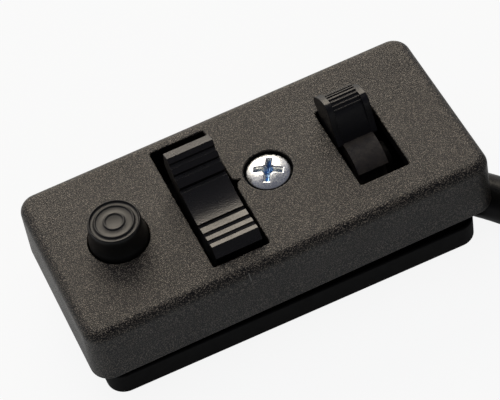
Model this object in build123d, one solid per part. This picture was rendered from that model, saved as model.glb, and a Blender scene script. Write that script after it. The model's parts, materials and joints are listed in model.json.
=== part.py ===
from build123d import *
from math import atan2, cos, degrees, isclose, pi, radians, sin, sqrt, tan
import os

os.makedirs("parts", exist_ok=True)

# Handlebar light switch of a scooter: a moulded cover on a base, with a horn button,
# a dip rocker and a light lever, and a sleeved cable that leaves under the cover's rim.
# Millimetres. Origin: centre of the cover's outline, on the plane that the base rests on.
# +X points to the cable end, +Y across the switch, +Z up through the cover.

# --- heights -------------------------------------------------------------------------
PLINTH_HEIGHT = 4.8
RIM_GAP = 3.3
COVER_HEIGHT = 10.9
RIM_Z = PLINTH_HEIGHT + RIM_GAP
TOP_Z = RIM_Z + COVER_HEIGHT

# --- cover ---------------------------------------------------------------------------
COVER_LENGTH = 70.0
COVER_WIDTH = 32.6
COVER_DRAFT = 1.7
COVER_CORNER_R = 3.3
COVER_TOP_FILLET = 1.75
COVER_WALL = 2.0
COVER_ROOF = 2.2
CEILING_Z = TOP_Z - COVER_ROOF
SEAT_RIB_THICKNESS = 1.2
RIB_OVERLAP = 0.3
SEAT_RIB_STATIONS = (-28.0, -15.5, 10.5, 26.5)
SLOT_CORNER_R = 0.4
NICK_OPEN_Y = (-0.3, 2.0)
NICK_STEP_Y = (0.85, 1.45)
NICK_STEP = (0.5, 0.35)
NICK_TIP_Y = 1.2
NICK_TIP_GAP = 0.55
CUT_PAST = 1.0

# --- base ----------------------------------------------------------------------------
PLINTH_LEFT_X = -33.0
PLINTH_RIGHT_X = 31.9
PLINTH_LEFT_WIDTH = 28.7
PLINTH_RIGHT_WIDTH = 30.9
PLINTH_CORNER_R = 3.1
PLINTH_EDGE = 0.4
BASE_FLOOR = 2.0
NECK_INSET = 3.0
NECK_END_STEP = 0.3
NECK_CORNER_R = 2.4
NECK_WALL = 1.5
NECK_RISE = 1.3
TERMINAL_SEAT = 1.0

# --- cover screw ---------------------------------------------------------------------
SCREW_X = 3.3
SCREW_Y = 0.6
SCREW_R = 1.95
SCREW_LENGTH = 10.0
HEAD_R = 3.55
HEAD_HEIGHT = 2.4
HEAD_EDGE = 1.6
HEAD_STANDS = 0.6
HEAD_TURN = 12.0
DOME_REACH = 0.62
DOME_RISE = 0.72
SCREW_TIP = 0.5
RECESS_R = 4.0
BOSS_WALL = 0.9
SHANK_CLEARANCE = 0.2
RECESS_FLOOR_Z = TOP_Z + HEAD_STANDS - HEAD_HEIGHT
CROSS_SPAN = 4.5
CROSS_WIDTH = 1.15
CROSS_DEPTH = 1.6
CROSS_DRAFT = 14.0
CROSS_CLEAR = 0.3
INSERT_R = 2.8
INSERT_LENGTH = 8.0
INSERT_BORE_R = 2.0
PILLAR_WALL = 1.2
BOSS_LENGTH = 3.9
PILLAR_TOP_Z = CEILING_Z - BOSS_LENGTH

# --- horn button ---------------------------------------------------------------------
BUTTON_X = -22.8
BUTTON_Y = 0.2
BUTTON_TRAVEL = 2.0
BUTTON_TOP_R = 4.2
BUTTON_HEIGHT = 4.45
BUTTON_DISH = 0.12
BUTTON_LIP = 0.34
BUTTON_LIP_FALL = 0.22
BUTTON_GROOVES = ((1.32, 1.62, 0.28), (2.66, 2.92, 0.28), (3.2, 3.56, 0.4))
FLARE_KNEE = (0.08, 1.5)
FLARE_FOOT = 0.6
BUTTON_SKIRT_R = 4.72
BUTTON_CLEARANCE = 0.23
FLANGE_WIDTH = 1.3
FLANGE_THICKNESS = 1.2
FLANGE_GAP = 0.3
PLUNGER_DISC_R = 5.4
PLUNGER_DISC = 1.0
PLUNGER_BOSS_R = 3.0
PLUNGER_BOSS_HEIGHT = 3.6
STEM_R = 2.1
STEM_CLEARANCE = 0.08
STEM_END_GAP = 1.0
GUIDE_WALL = 0.9
GUIDE_TOP_GAP = 1.8
SPRING_SEAT_R = 4.5
SPRING_SEAT_HEIGHT = 1.4
SPRING_R = 3.65
SPRING_WIRE_R = 0.3
SPRING_TURNS = 4
CONTACT_DISC_R = 5.0
CONTACT_DISC = 0.5
HORN_STRIP_WIDTH = 4.0
HORN_CONTACT_GAP = 0.1
HORN_TONGUE_REACH = 0.8

# --- shared by both switches ---------------------------------------------------------
WIRE_SIDES = 6
STRIP = 0.6
STRIP_EASE = 0.05
PIN_R = 1.0
PIN_CLEARANCE = 0.05
EAR_CLEARANCE = 0.25
WIPER = 0.5
CONTACT_GAP = 0.15
CONTACT_TIP_R = 0.55

# --- dip rocker ----------------------------------------------------------------------
ROCKER_X = -7.25
ROCKER_Y = 0.44
ROCKER_DEPTH = 6.2
ROCKER_TILT = 16.0
ROCKER_WIDTH = 7.9
ROCKER_SLOT_WIDTH = 9.55
ROCKER_SLOT_LENGTH = 25.9
SADDLE_R = 9.3
SADDLE_LOW = 8.1
LOBE_START = 3.37
LOBE_ROOT_R = 0.6
LOBE_KNEE = (7.07, 10.8)
LOBE_LIP = (8.28, 11.16)
NOSE_TOP = (9.85, 9.95)
NOSE_TIP = (9.75, 8.3)
NOSE_BOTTOM = (9.6, 6.4)
ROCKER_ARMPIT = (5.6, 4.1)
ROCKER_EDGE = 0.2
GROOVES = ((3.37, 8.05), (5.4, 9.25), (7.07, 10.15))
GROOVE_WIDTH = 0.75
ROCKER_HUB_R = 3.4
ROCKER_TOE_R = 5.6
ROCKER_TOE_ANGLE = 25.0
ROCKER_EAR_WIDTH = 6.0
ROCKER_EAR_THICKNESS = 1.2
ROCKER_EAR_TOP = 2.1
ROCKER_STRIP_WIDTH = 5.0
ROCKER_STRIP_ANGLE = 31.0

# --- light lever ---------------------------------------------------------------------
LEVER_X = 18.7
LEVER_Y = -1.07
LEVER_DEPTH = 6.6
LEVER_LEAN = 31.0
LEVER_WIDTH = 7.1
LEVER_SLOT_WIDTH = 8.6
LEVER_SLOT_SHIFT = 0.3
LEVER_SLOT_LENGTH = 17.0
CHEEK = 1.1
CHEEK_ROOT = (2.35, 5.2)
CHEEK_WAIST = (2.55, 7.6)
CHEEK_SHOULDER = (3.25, 10.9)
CHEEK_CORNER = (2.75, 12.25)
CHEEK_TOP = 12.8
CHEEK_RISES = (0.7, 0.0)
CHEEK_EDGE = 0.25
WEB_ROOT = (2.2, 5.2)
WEB_ROLL_R = 2.75
WEB_ROLL_HEIGHT = 10.5
RIB_R = 0.2
RIB_COUNT = 11
RIB_SPREAD = 146.0
DRUM_R = 5.9
DRUM_WIDTH = 5.3
DRUM_CUT = 0.9
LEVER_HUB_R = 3.2
LEVER_TOE_R = 5.4
LEVER_TOE_ANGLE = 34.0
LEVER_EAR_WIDTH = 5.0
LEVER_EAR_THICKNESS = 1.4
LEVER_EAR_TOP = 2.0
LEVER_STRIP_WIDTH = 4.4
LEVER_STRIP_ANGLE = 46.0

# --- fixing holes in the base --------------------------------------------------------
FIXING_HOLE_R = 2.1
FIXING_X = (-16.6, 11.0)
FIXING_Y = 6.6

# --- cable outlet --------------------------------------------------------------------
SLEEVE_R = 3.75
OUTLET_Y = -6.9
OUTLET_Z = 4.0
OUTLET_HEADING = -42.5
NIPPLE_R = 2.8
NIPPLE_BORE_R = 2.1
NIPPLE_OUTSIDE = 5.0
NIPPLE_INSIDE = 3.5
WIRE_R = 0.6
WIRE_BEND_R = 1.4
WIRE_PITCH = 1.3
WIRE_START = (2.2, -2.0)
WIRE_ENTRY = (-2.9, 2.7)
WIRE_LANE_START = 8.5
WIRE_WALL_GAP = 0.2

# --- free cable: lead, coil and tail -------------------------------------------------
FLOOR_AXIS_Z = SLEEVE_R + 0.05
LEAD_POINTS = [
    (30.9, -5.98, OUTLET_Z),
    (36.6, -11.2, OUTLET_Z - 0.1),
    (42.6, -21.0, FLOOR_AXIS_Z),
    (50.6, -32.6, FLOOR_AXIS_Z),
]
COIL_X = 91.6
COIL_Y = -15.2
COIL_R = 42.0
COIL_PITCH = 8.0
COIL_TURNS = 1.125
COIL_START = 219.0
COIL_STEP = 15.0
COIL_CLEARANCE = 0.15
COIL_EDGE = 2.0
TAIL_R = 25.6
TAIL_STEP = 26.0
TAIL_STEPS = 6
TAIL_RUN = 8.0

# --- connector on the cable's far end ------------------------------------------------
CONNECTOR_LENGTH = 14.0
CONNECTOR_WIDTH = 10.4
CONNECTOR_HEIGHT = 8.0
CONNECTOR_EDGE = 0.6
CONNECTOR_COLUMNS = 3
CONNECTOR_ROWS = 2
CONNECTOR_PITCH = 3.1
SOCKET_SIDE = 2.0
SOCKET_BORE = 1.2
SOCKET_LENGTH = 7.0
SOCKET_RECESS = 0.6
LATCH_WIDTH = 3.6
LATCH_HEIGHT = 1.0
LATCH_SPAN = (0.35, 0.8)
LATCH_RAMP = 0.8
BOOT_LENGTH = 5.0
BOOT_WALL = 0.65

ROCKER_AXIS_Z = TOP_Z - ROCKER_DEPTH
LEVER_AXIS_Z = TOP_Z - LEVER_DEPTH
SADDLE_CENTRE = SADDLE_LOW + SADDLE_R
FLANGE_TOP_Z = CEILING_Z - FLANGE_GAP
PLUNGER_DISC_TOP_Z = FLANGE_TOP_Z - FLANGE_THICKNESS
PLUNGER_DISC_Z = PLUNGER_DISC_TOP_Z - PLUNGER_DISC
CONTACT_DISC_Z = PLUNGER_DISC_Z - CONTACT_DISC
HORN_TONGUE_Z = CONTACT_DISC_Z - BUTTON_TRAVEL - HORN_CONTACT_GAP
STEM_END_Z = BASE_FLOOR + BUTTON_TRAVEL + STEM_END_GAP
NECK_TOP_Z = RIM_Z + NECK_RISE
NECK_HALF = PLINTH_LEFT_WIDTH / 2 - NECK_INSET
NECK_LEFT_X = PLINTH_LEFT_X + NECK_INSET
NECK_RIGHT_X = PLINTH_RIGHT_X - NECK_END_STEP


# --- helpers -------------------------------------------------------------------------
def slab(length, width, corner, low, high, x=0.0, y=0.0, taper=0.0):
    """Rounded rectangle between two heights."""
    outline = Pos(x, y) * RectangleRounded(length, width, corner)
    return extrude(Plane.XY.offset(low) * outline, high - low, taper=taper)


def rod(radius, low, high, x=0.0, y=0.0):
    """Upright cylinder between two heights."""
    return extrude(Plane.XY.offset(low) * Pos(x, y) * Circle(radius), high - low)


def block(x0, x1, y0, y1, z0, z1):
    """Box between two corners."""
    size = Box(x1 - x0, y1 - y0, z1 - z0)
    return Pos((x0 + x1) / 2, (y0 + y1) / 2, (z0 + z1) / 2) * size


def across(profile, x0, x1):
    """Profile drawn in the Y-Z plane, carried from x0 to x1."""
    return extrude(Plane.YZ.offset(x0) * profile, x1 - x0)


def closed(*edges):
    """Face inside a closed run of edges."""
    return make_face(Curve() + list(edges))


def mirrored_outline(points):
    """Closed polygon: the given right-hand points, then their mirror images."""
    left = [(-u, w) for u, w in reversed(points)]
    return make_face(Polyline(*points, *left, close=True))


def swing(solid, y, z, angle):
    """Turn a solid about an X axis line through (y, z)."""
    return Pos(0, y, z) * Rot(angle, 0, 0) * solid


def band(inner, outer, half_angle):
    """Arc band centred on straight down, as a face in the Y-Z plane."""
    start = 270.0 - half_angle
    lower = CenterArc((0, 0), outer, start, 2 * half_angle)
    upper = CenterArc((0, 0), inner, start, 2 * half_angle)
    return closed(lower, Line(lower @ 1, upper @ 1), upper, Line(upper @ 0, lower @ 0))


def ear(x0, x1, y, axis_z, width, top):
    """Bearing ear on the base floor with a round head at the pivot pin."""
    shank = Pos(y, (TERMINAL_SEAT + axis_z) / 2) * Rectangle(width, axis_z - TERMINAL_SEAT)
    head = Pos(y, axis_z) * SlotOverall(width, 2 * top)
    return across(shank + head, x0, x1) - pin(x0, x1, y, axis_z, PIN_R)


def pin(x0, x1, y, z, radius):
    """Round pin along X."""
    return across(Pos(y, z) * Circle(radius), x0, x1)


def smooth_path(points):
    """Straight runs joined by the largest even arcs, and the arcs' radii."""
    vectors = [Vector(*point) for point in points]
    radii = []
    for before, corner, after in zip(vectors, vectors[1:], vectors[2:]):
        turn = (corner - before).get_angle(after - corner)
        shorter = min((corner - before).length, (after - corner).length)
        radii.append(0.45 * shorter / tan(radians(turn) / 2))
    return FilletPolyline(*vectors, radius=radii), radii


def tube(path, radius):
    """Round bar along a path."""
    start = Plane(origin=path @ 0, z_dir=path % 0)
    return sweep(start * Circle(radius), path=path)


def thin_wire(path, radius):
    """Fine wire along a path, with a flat-sided section of the same area as a round one."""
    start = Plane(origin=path @ 0, z_dir=path % 0)
    corner_r = radius * sqrt(2 * pi / (WIRE_SIDES * sin(2 * pi / WIRE_SIDES)))
    return sweep(start * RegularPolygon(corner_r, WIRE_SIDES), path=path)


# --- cover ---------------------------------------------------------------------------
def make_cover():
    outer = slab(COVER_LENGTH, COVER_WIDTH, COVER_CORNER_R, RIM_Z, TOP_Z, taper=COVER_DRAFT)
    outer = fillet(outer.edges().group_by(Axis.Z)[-1], COVER_TOP_FILLET)
    inner_length = COVER_LENGTH - 2 * COVER_WALL
    inner_width = COVER_WIDTH - 2 * COVER_WALL
    inner_corner = COVER_CORNER_R - COVER_WALL
    hollow = slab(inner_length, inner_width, inner_corner, RIM_Z, CEILING_Z, taper=COVER_DRAFT)
    shell = outer - hollow
    rib_inner = NECK_HALF - NECK_WALL + RIB_OVERLAP
    rib_outer = inner_width / 2 + RIB_OVERLAP
    rib_top = CEILING_Z + RIB_OVERLAP
    for x in SEAT_RIB_STATIONS:
        x0 = x - SEAT_RIB_THICKNESS / 2
        x1 = x + SEAT_RIB_THICKNESS / 2
        shell += block(x0, x1, rib_inner, rib_outer, NECK_TOP_Z, rib_top)
        shell += block(x0, x1, -rib_outer, -rib_inner, NECK_TOP_Z, rib_top)
    shell += rod(RECESS_R + BOSS_WALL, PILLAR_TOP_Z, rib_top, SCREW_X, SCREW_Y)
    shell -= rod(RECESS_R, RECESS_FLOOR_Z, TOP_Z + 1, SCREW_X, SCREW_Y)
    shell -= rod(SCREW_R + SHANK_CLEARANCE, PILLAR_TOP_Z - 1, TOP_Z, SCREW_X, SCREW_Y)
    shell -= rod(BUTTON_SKIRT_R + BUTTON_CLEARANCE, CEILING_Z - 1, TOP_Z + 1, BUTTON_X, BUTTON_Y)
    shell -= slab(ROCKER_SLOT_WIDTH, ROCKER_SLOT_LENGTH, SLOT_CORNER_R, CEILING_Z - 1, TOP_Z + 1,
                  ROCKER_X, ROCKER_Y)
    shell -= slab(LEVER_SLOT_WIDTH, LEVER_SLOT_LENGTH, SLOT_CORNER_R, CEILING_Z - 1, TOP_Z + 1,
                  LEVER_X + LEVER_SLOT_SHIFT, LEVER_Y)
    return shell - broken_nick()


def broken_nick():
    """Small V broken out of the rocker slot's edge towards the screw recess."""
    edge = ROCKER_X + ROCKER_SLOT_WIDTH / 2
    inside = edge - CUT_PAST
    tip = SCREW_X - RECESS_R - NICK_TIP_GAP
    outline = Polyline(
        (inside, NICK_OPEN_Y[1]), (edge, NICK_OPEN_Y[1]), (edge + NICK_STEP[1], NICK_STEP_Y[1]),
        (tip, NICK_TIP_Y), (edge + NICK_STEP[0], NICK_STEP_Y[0]),
        (edge, NICK_OPEN_Y[0]), (inside, NICK_OPEN_Y[0]), close=True,
    )
    return extrude(Plane.XY.offset(CEILING_Z - CUT_PAST) * make_face(outline), COVER_ROOF + 2 * CUT_PAST)


# --- base ----------------------------------------------------------------------------
def plinth():
    left = PLINTH_LEFT_WIDTH / 2
    right = PLINTH_RIGHT_WIDTH / 2
    corners = Polyline(
        (PLINTH_LEFT_X, -left), (PLINTH_RIGHT_X, -right),
        (PLINTH_RIGHT_X, right), (PLINTH_LEFT_X, left), close=True,
    )
    outline = make_face(corners)
    outline = fillet(outline.vertices(), PLINTH_CORNER_R)
    foot = extrude(outline, PLINTH_HEIGHT)
    foot = chamfer(foot.edges().group_by(Axis.Z)[0], PLINTH_EDGE)
    return fillet(foot.edges().group_by(Axis.Z)[-1], PLINTH_EDGE)


def tray_walls():
    length = NECK_RIGHT_X - NECK_LEFT_X
    middle = (NECK_LEFT_X + NECK_RIGHT_X) / 2
    return slab(length, 2 * NECK_HALF, NECK_CORNER_R, BASE_FLOOR, NECK_TOP_Z, middle)


def tray_pocket():
    length = NECK_RIGHT_X - NECK_LEFT_X - 2 * NECK_WALL
    middle = (NECK_LEFT_X + NECK_RIGHT_X) / 2
    width = 2 * (NECK_HALF - NECK_WALL)
    corner = NECK_CORNER_R - NECK_WALL
    return slab(length, width, corner, BASE_FLOOR, NECK_TOP_Z + 1, middle)


def outlet_bar(radius):
    """Round bar on the outlet's axis, from the nipple's inner end to its outer end."""
    heading = Vector(cos(radians(OUTLET_HEADING)), sin(radians(OUTLET_HEADING)), 0)
    root = Vector(PLINTH_RIGHT_X, OUTLET_Y, OUTLET_Z)
    start = Plane(origin=root - heading * NIPPLE_INSIDE, z_dir=heading)
    return extrude(start * Circle(radius), NIPPLE_INSIDE + NIPPLE_OUTSIDE)


def make_base():
    body = plinth() + tray_walls() - tray_pocket()
    body += rod(INSERT_R + PILLAR_WALL, TERMINAL_SEAT, PILLAR_TOP_Z, SCREW_X, SCREW_Y)
    body -= rod(INSERT_R, PILLAR_TOP_Z - INSERT_LENGTH, PILLAR_TOP_Z + 1, SCREW_X, SCREW_Y)
    for x0, x1 in ear_spans(ROCKER_X, ROCKER_WIDTH, ROCKER_EAR_THICKNESS):
        body += ear(x0, x1, ROCKER_Y, ROCKER_AXIS_Z, ROCKER_EAR_WIDTH, ROCKER_EAR_TOP)
    for x0, x1 in ear_spans(LEVER_X, DRUM_WIDTH, LEVER_EAR_THICKNESS):
        body += ear(x0, x1, LEVER_Y, LEVER_AXIS_Z, LEVER_EAR_WIDTH, LEVER_EAR_TOP)
    body += horn_guide()
    body -= outlet_bar(NIPPLE_R)
    for x in FIXING_X:
        body -= rod(FIXING_HOLE_R, -1, BASE_FLOOR + 1, x, FIXING_Y)
    for seat in terminal_solids().values():
        body -= seat
    return body


def ear_spans(middle, moving_width, thickness):
    """X spans of the two bearing ears beside a moving piece."""
    near = moving_width / 2 + EAR_CLEARANCE
    return ((middle - near - thickness, middle - near), (middle + near, middle + near + thickness))


def horn_guide():
    top = CONTACT_DISC_Z - BUTTON_TRAVEL - GUIDE_TOP_GAP
    bore = STEM_R + STEM_CLEARANCE
    seat = rod(SPRING_SEAT_R, TERMINAL_SEAT, BASE_FLOOR + SPRING_SEAT_HEIGHT, BUTTON_X, BUTTON_Y)
    barrel = rod(bore + GUIDE_WALL, TERMINAL_SEAT, top, BUTTON_X, BUTTON_Y)
    return seat + barrel - rod(bore, BASE_FLOOR, top + 1, BUTTON_X, BUTTON_Y)


# --- cover screw and its insert ------------------------------------------------------
def make_screw_insert():
    low = PILLAR_TOP_Z - INSERT_LENGTH
    sleeve = rod(INSERT_R, low, PILLAR_TOP_Z, SCREW_X, SCREW_Y)
    return sleeve - rod(INSERT_BORE_R, low - 1, PILLAR_TOP_Z + 1, SCREW_X, SCREW_Y)


def make_cover_screw():
    low = RECESS_FLOOR_Z - SCREW_LENGTH
    rim = RECESS_FLOOR_Z + HEAD_EDGE
    top = RECESS_FLOOR_Z + HEAD_HEIGHT
    slope = (HEAD_R * DOME_REACH, rim + (HEAD_HEIGHT - HEAD_EDGE) * DOME_RISE)
    dome = ThreePointArc((HEAD_R, rim), slope, (0, top))
    lower = Polyline(
        (0, top), (0, low), (SCREW_R - SCREW_TIP, low), (SCREW_R, low + SCREW_TIP),
        (SCREW_R, RECESS_FLOOR_Z), (HEAD_R, RECESS_FLOOR_Z), (HEAD_R, rim),
    )
    solid = revolve(Plane.XZ * closed(dome, lower), Axis.Z)
    cross = Rectangle(CROSS_SPAN, CROSS_WIDTH) + Rectangle(CROSS_WIDTH, CROSS_SPAN)
    solid -= extrude(Plane.XY.offset(top + CROSS_CLEAR) * cross, -CROSS_DEPTH - CROSS_CLEAR, taper=CROSS_DRAFT)
    return Pos(SCREW_X, SCREW_Y, 0) * Rot(0, 0, HEAD_TURN) * solid


# --- horn button ---------------------------------------------------------------------
def make_horn_button():
    crown = TOP_Z + BUTTON_HEIGHT
    flange_r = BUTTON_SKIRT_R + FLANGE_WIDTH
    socket_top = PLUNGER_DISC_TOP_Z + PLUNGER_BOSS_HEIGHT
    dish = (BUTTON_TOP_R - BUTTON_LIP, crown - BUTTON_DISH)
    rim = (BUTTON_TOP_R, crown - BUTTON_LIP_FALL)
    foot = (BUTTON_SKIRT_R, TOP_Z + FLARE_FOOT)
    lip = ThreePointArc(dish, (BUTTON_TOP_R - BUTTON_LIP / 2, crown), rim)
    knee = (BUTTON_TOP_R + FLARE_KNEE[0], crown - FLARE_KNEE[1])
    flare = Spline(rim, knee, foot, tangents=((0.02, -1), (0, -1)))
    lower = Polyline(
        foot, (BUTTON_SKIRT_R, FLANGE_TOP_Z), (flange_r, FLANGE_TOP_Z),
        (flange_r, PLUNGER_DISC_TOP_Z), (PLUNGER_BOSS_R, PLUNGER_DISC_TOP_Z),
        (PLUNGER_BOSS_R, socket_top), (0, socket_top), (0, crown - BUTTON_DISH), dish,
    )
    cap = revolve(Plane.XZ * closed(lip, flare, lower), Axis.Z)
    for inner, outer, depth in BUTTON_GROOVES:
        ring = rod(outer, crown - BUTTON_DISH - depth, crown + CUT_PAST)
        cap -= ring - rod(inner, crown - BUTTON_DISH - depth - CUT_PAST, crown + 2 * CUT_PAST)
    return Pos(BUTTON_X, BUTTON_Y, 0) * cap


def make_horn_plunger():
    boss_top = PLUNGER_DISC_TOP_Z + PLUNGER_BOSS_HEIGHT
    boss = rod(PLUNGER_BOSS_R, PLUNGER_DISC_TOP_Z, boss_top, BUTTON_X, BUTTON_Y)
    disc = rod(PLUNGER_DISC_R, PLUNGER_DISC_Z, PLUNGER_DISC_TOP_Z, BUTTON_X, BUTTON_Y)
    stem = rod(STEM_R, STEM_END_Z, PLUNGER_DISC_Z, BUTTON_X, BUTTON_Y)
    return chamfer(stem.edges().group_by(Axis.Z)[0], 0.4) + disc + boss


def make_horn_contact_disc():
    disc = rod(CONTACT_DISC_R, CONTACT_DISC_Z, PLUNGER_DISC_Z, BUTTON_X, BUTTON_Y)
    return disc - rod(STEM_R, CONTACT_DISC_Z - 1, PLUNGER_DISC_Z + 1, BUTTON_X, BUTTON_Y)


def make_horn_spring():
    low = BASE_FLOOR + SPRING_SEAT_HEIGHT + SPRING_WIRE_R
    height = CONTACT_DISC_Z - SPRING_WIRE_R - low
    coil = Helix(pitch=height / SPRING_TURNS, height=height, radius=SPRING_R)
    return Pos(BUTTON_X, BUTTON_Y, low) * thin_wire(coil, SPRING_WIRE_R)


def horn_terminal(side):
    """Strip that stands in the floor and folds in under the contact disc."""
    inner = CONTACT_DISC_R + STRIP_EASE
    x0 = BUTTON_X - HORN_STRIP_WIDTH / 2
    x1 = BUTTON_X + HORN_STRIP_WIDTH / 2
    upright = [inner, inner + STRIP]
    tongue = [CONTACT_DISC_R - HORN_TONGUE_REACH, inner + STRIP]
    parts = []
    for reach, low in ((upright, TERMINAL_SEAT), (tongue, HORN_TONGUE_Z - STRIP)):
        y0, y1 = sorted(BUTTON_Y + side * distance for distance in reach)
        parts.append(block(x0, x1, y0, y1, low, HORN_TONGUE_Z))
    return parts[0] + parts[1]


# --- dip rocker ----------------------------------------------------------------------
def lobe_points():
    """Right-hand lobe of the rocker's outline, from the saddle's end to the armpit."""
    start = (LOBE_START, SADDLE_CENTRE - sqrt(SADDLE_R**2 - LOBE_START**2))
    return start, LOBE_KNEE, LOBE_LIP, NOSE_TOP, NOSE_TIP, NOSE_BOTTOM, ROCKER_ARMPIT


def rocker_profile():
    start, *lobe = lobe_points()
    toe = (ROCKER_TOE_R * sin(radians(ROCKER_TOE_ANGLE)), -ROCKER_TOE_R * cos(radians(ROCKER_TOE_ANGLE)))
    right = Polyline(start, *lobe, (ROCKER_HUB_R, 0), toe)
    left = mirror(right, Plane.YZ)
    saddle = ThreePointArc((-start[0], start[1]), (0, SADDLE_LOW), start)
    sole = ThreePointArc((-toe[0], toe[1]), (0, -ROCKER_TOE_R), toe)
    outline = closed(saddle, right, sole, left)
    joins = [corner for corner in outline.vertices() if isclose(abs(corner.X), LOBE_START, rel_tol=1e-6)]
    return fillet(joins, LOBE_ROOT_R)


def grooves():
    """Grip grooves, cut straight down as the mould draws, three on each side."""
    top = LOBE_LIP[1] + CUT_PAST
    cuts = []
    for place, floor in GROOVES:
        for side in (1, -1):
            cuts.append(Pos(side * place, (floor + top) / 2) * Rectangle(GROOVE_WIDTH, top - floor))
    return cuts


def make_rocker():
    half = ROCKER_WIDTH / 2
    body = across(rocker_profile(), -half, half)
    sides = body.faces().sort_by(Axis.X)
    body = chamfer(sides[0].edges() + sides[-1].edges(), ROCKER_EDGE)
    for cut in grooves():
        body -= across(cut, -half - 1, half + 1)
    body -= pin(-half - 1, half + 1, 0, 0, PIN_R + PIN_CLEARANCE)
    return Pos(ROCKER_X, 0, 0) * swing(body, ROCKER_Y, ROCKER_AXIS_Z, ROCKER_TILT)


def make_rocker_wiper():
    half = ROCKER_STRIP_WIDTH / 2
    blade = across(band(ROCKER_TOE_R, ROCKER_TOE_R + WIPER, ROCKER_TOE_ANGLE), -half, half)
    return Pos(ROCKER_X, 0, 0) * swing(blade, ROCKER_Y, ROCKER_AXIS_Z, ROCKER_TILT)


def make_rocker_pin():
    spans = ear_spans(ROCKER_X, ROCKER_WIDTH, ROCKER_EAR_THICKNESS)
    return pin(spans[0][0], spans[1][1], ROCKER_Y, ROCKER_AXIS_Z, PIN_R)


# --- light lever ---------------------------------------------------------------------
def cheek_profile(rise):
    """Side outline of one cheek, whose top stands higher by a rise."""
    shoulder = (CHEEK_SHOULDER[0], CHEEK_SHOULDER[1] + rise)
    corner = (CHEEK_CORNER[0], CHEEK_CORNER[1] + rise)
    right = Spline(CHEEK_ROOT, CHEEK_WAIST, shoulder, corner, tangents=((0, 1), (-1, 0.75)))
    left = mirror(right, Plane.YZ)
    crown = ThreePointArc(corner, (0, CHEEK_TOP + rise), (-corner[0], corner[1]))
    root = ThreePointArc(CHEEK_ROOT, (0, CHEEK_ROOT[1] - 0.4), (-CHEEK_ROOT[0], CHEEK_ROOT[1]))
    return closed(right, crown, left, root)


def web_profile():
    """Drum, finger web and contact toe of the lever, seen from the side."""
    drum = Circle(DRUM_R) - Pos(0, DRUM_CUT - DRUM_R) * Rectangle(4 * DRUM_R, 2 * DRUM_R)
    finger = mirrored_outline([WEB_ROOT, (WEB_ROLL_R, WEB_ROLL_HEIGHT)])
    roll = Pos(0, WEB_ROLL_HEIGHT) * Circle(WEB_ROLL_R)
    toe = band(0.5, LEVER_TOE_R, LEVER_TOE_ANGLE)
    return drum + finger + roll + Circle(LEVER_HUB_R) + toe


def rib_faces():
    """Fine grip ribs round the finger roll."""
    ribs = []
    for index in range(RIB_COUNT):
        angle = radians(90 + RIB_SPREAD * (index / (RIB_COUNT - 1) - 0.5))
        centre = (WEB_ROLL_R * cos(angle), WEB_ROLL_HEIGHT + WEB_ROLL_R * sin(angle))
        ribs.append(Pos(*centre) * Circle(RIB_R))
    return ribs


def make_lever():
    half = LEVER_WIDTH / 2
    inner = half - CHEEK
    body = across(web_profile(), -DRUM_WIDTH / 2, DRUM_WIDTH / 2)
    for (x0, x1), rise in zip(((-half, -inner), (inner, half)), CHEEK_RISES):
        cheek = across(cheek_profile(rise), x0, x1)
        outside = cheek.faces().sort_by(Axis.X)[0 if x0 < 0 else -1]
        body += chamfer(outside.edges(), CHEEK_EDGE)
    for rib in rib_faces():
        body += across(rib, -inner, inner)
    body -= pin(-half, half, 0, 0, PIN_R + PIN_CLEARANCE)
    return Pos(LEVER_X, 0, 0) * swing(body, LEVER_Y, LEVER_AXIS_Z, -LEVER_LEAN)


def make_lever_wiper():
    half = LEVER_STRIP_WIDTH / 2
    blade = across(band(LEVER_TOE_R, LEVER_TOE_R + WIPER, LEVER_TOE_ANGLE), -half, half)
    return Pos(LEVER_X, 0, 0) * swing(blade, LEVER_Y, LEVER_AXIS_Z, -LEVER_LEAN)


def make_lever_pin():
    spans = ear_spans(LEVER_X, DRUM_WIDTH, LEVER_EAR_THICKNESS)
    return pin(spans[0][0], spans[1][1], LEVER_Y, LEVER_AXIS_Z, PIN_R)


# --- fixed terminals -----------------------------------------------------------------
def contact_strip(x, y, axis_z, width, toe_r, angle):
    """Upright strip whose beaded tip stands just clear of a wiper's sweep."""
    reach = toe_r + WIPER + CONTACT_GAP + CONTACT_TIP_R
    tip_y = y + reach * sin(radians(angle))
    tip_z = axis_z - reach * cos(radians(angle))
    middle = (TERMINAL_SEAT + tip_z) / 2
    profile = Pos(tip_y, middle) * Rectangle(STRIP, tip_z - TERMINAL_SEAT)
    profile += Pos(tip_y, tip_z) * Circle(CONTACT_TIP_R)
    return across(profile, x - width / 2, x + width / 2)


def terminal_solids():
    """All fixed terminals by node name."""
    solids = {
        "horn_terminal_near": horn_terminal(-1),
        "horn_terminal_far": horn_terminal(1),
    }
    for place, side in (("near", -1), ("centre", 0), ("far", 1)):
        solids["rocker_terminal_" + place] = contact_strip(
            ROCKER_X, ROCKER_Y, ROCKER_AXIS_Z, ROCKER_STRIP_WIDTH, ROCKER_TOE_R, side * ROCKER_STRIP_ANGLE)
        solids["lever_terminal_" + place] = contact_strip(
            LEVER_X, LEVER_Y, LEVER_AXIS_Z, LEVER_STRIP_WIDTH, LEVER_TOE_R, side * LEVER_STRIP_ANGLE)
    return solids


# --- cable ---------------------------------------------------------------------------
def coil_point(angle, radius, height=FLOOR_AXIS_Z):
    """Point of the coil's centreline, from its centre, angle in degrees."""
    return (COIL_X + radius * cos(radians(angle)), COIL_Y + radius * sin(radians(angle)), height)


COIL_END = COIL_START + 360 * COIL_TURNS
COIL_INNER_R = COIL_R - COIL_PITCH * COIL_TURNS


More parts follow.
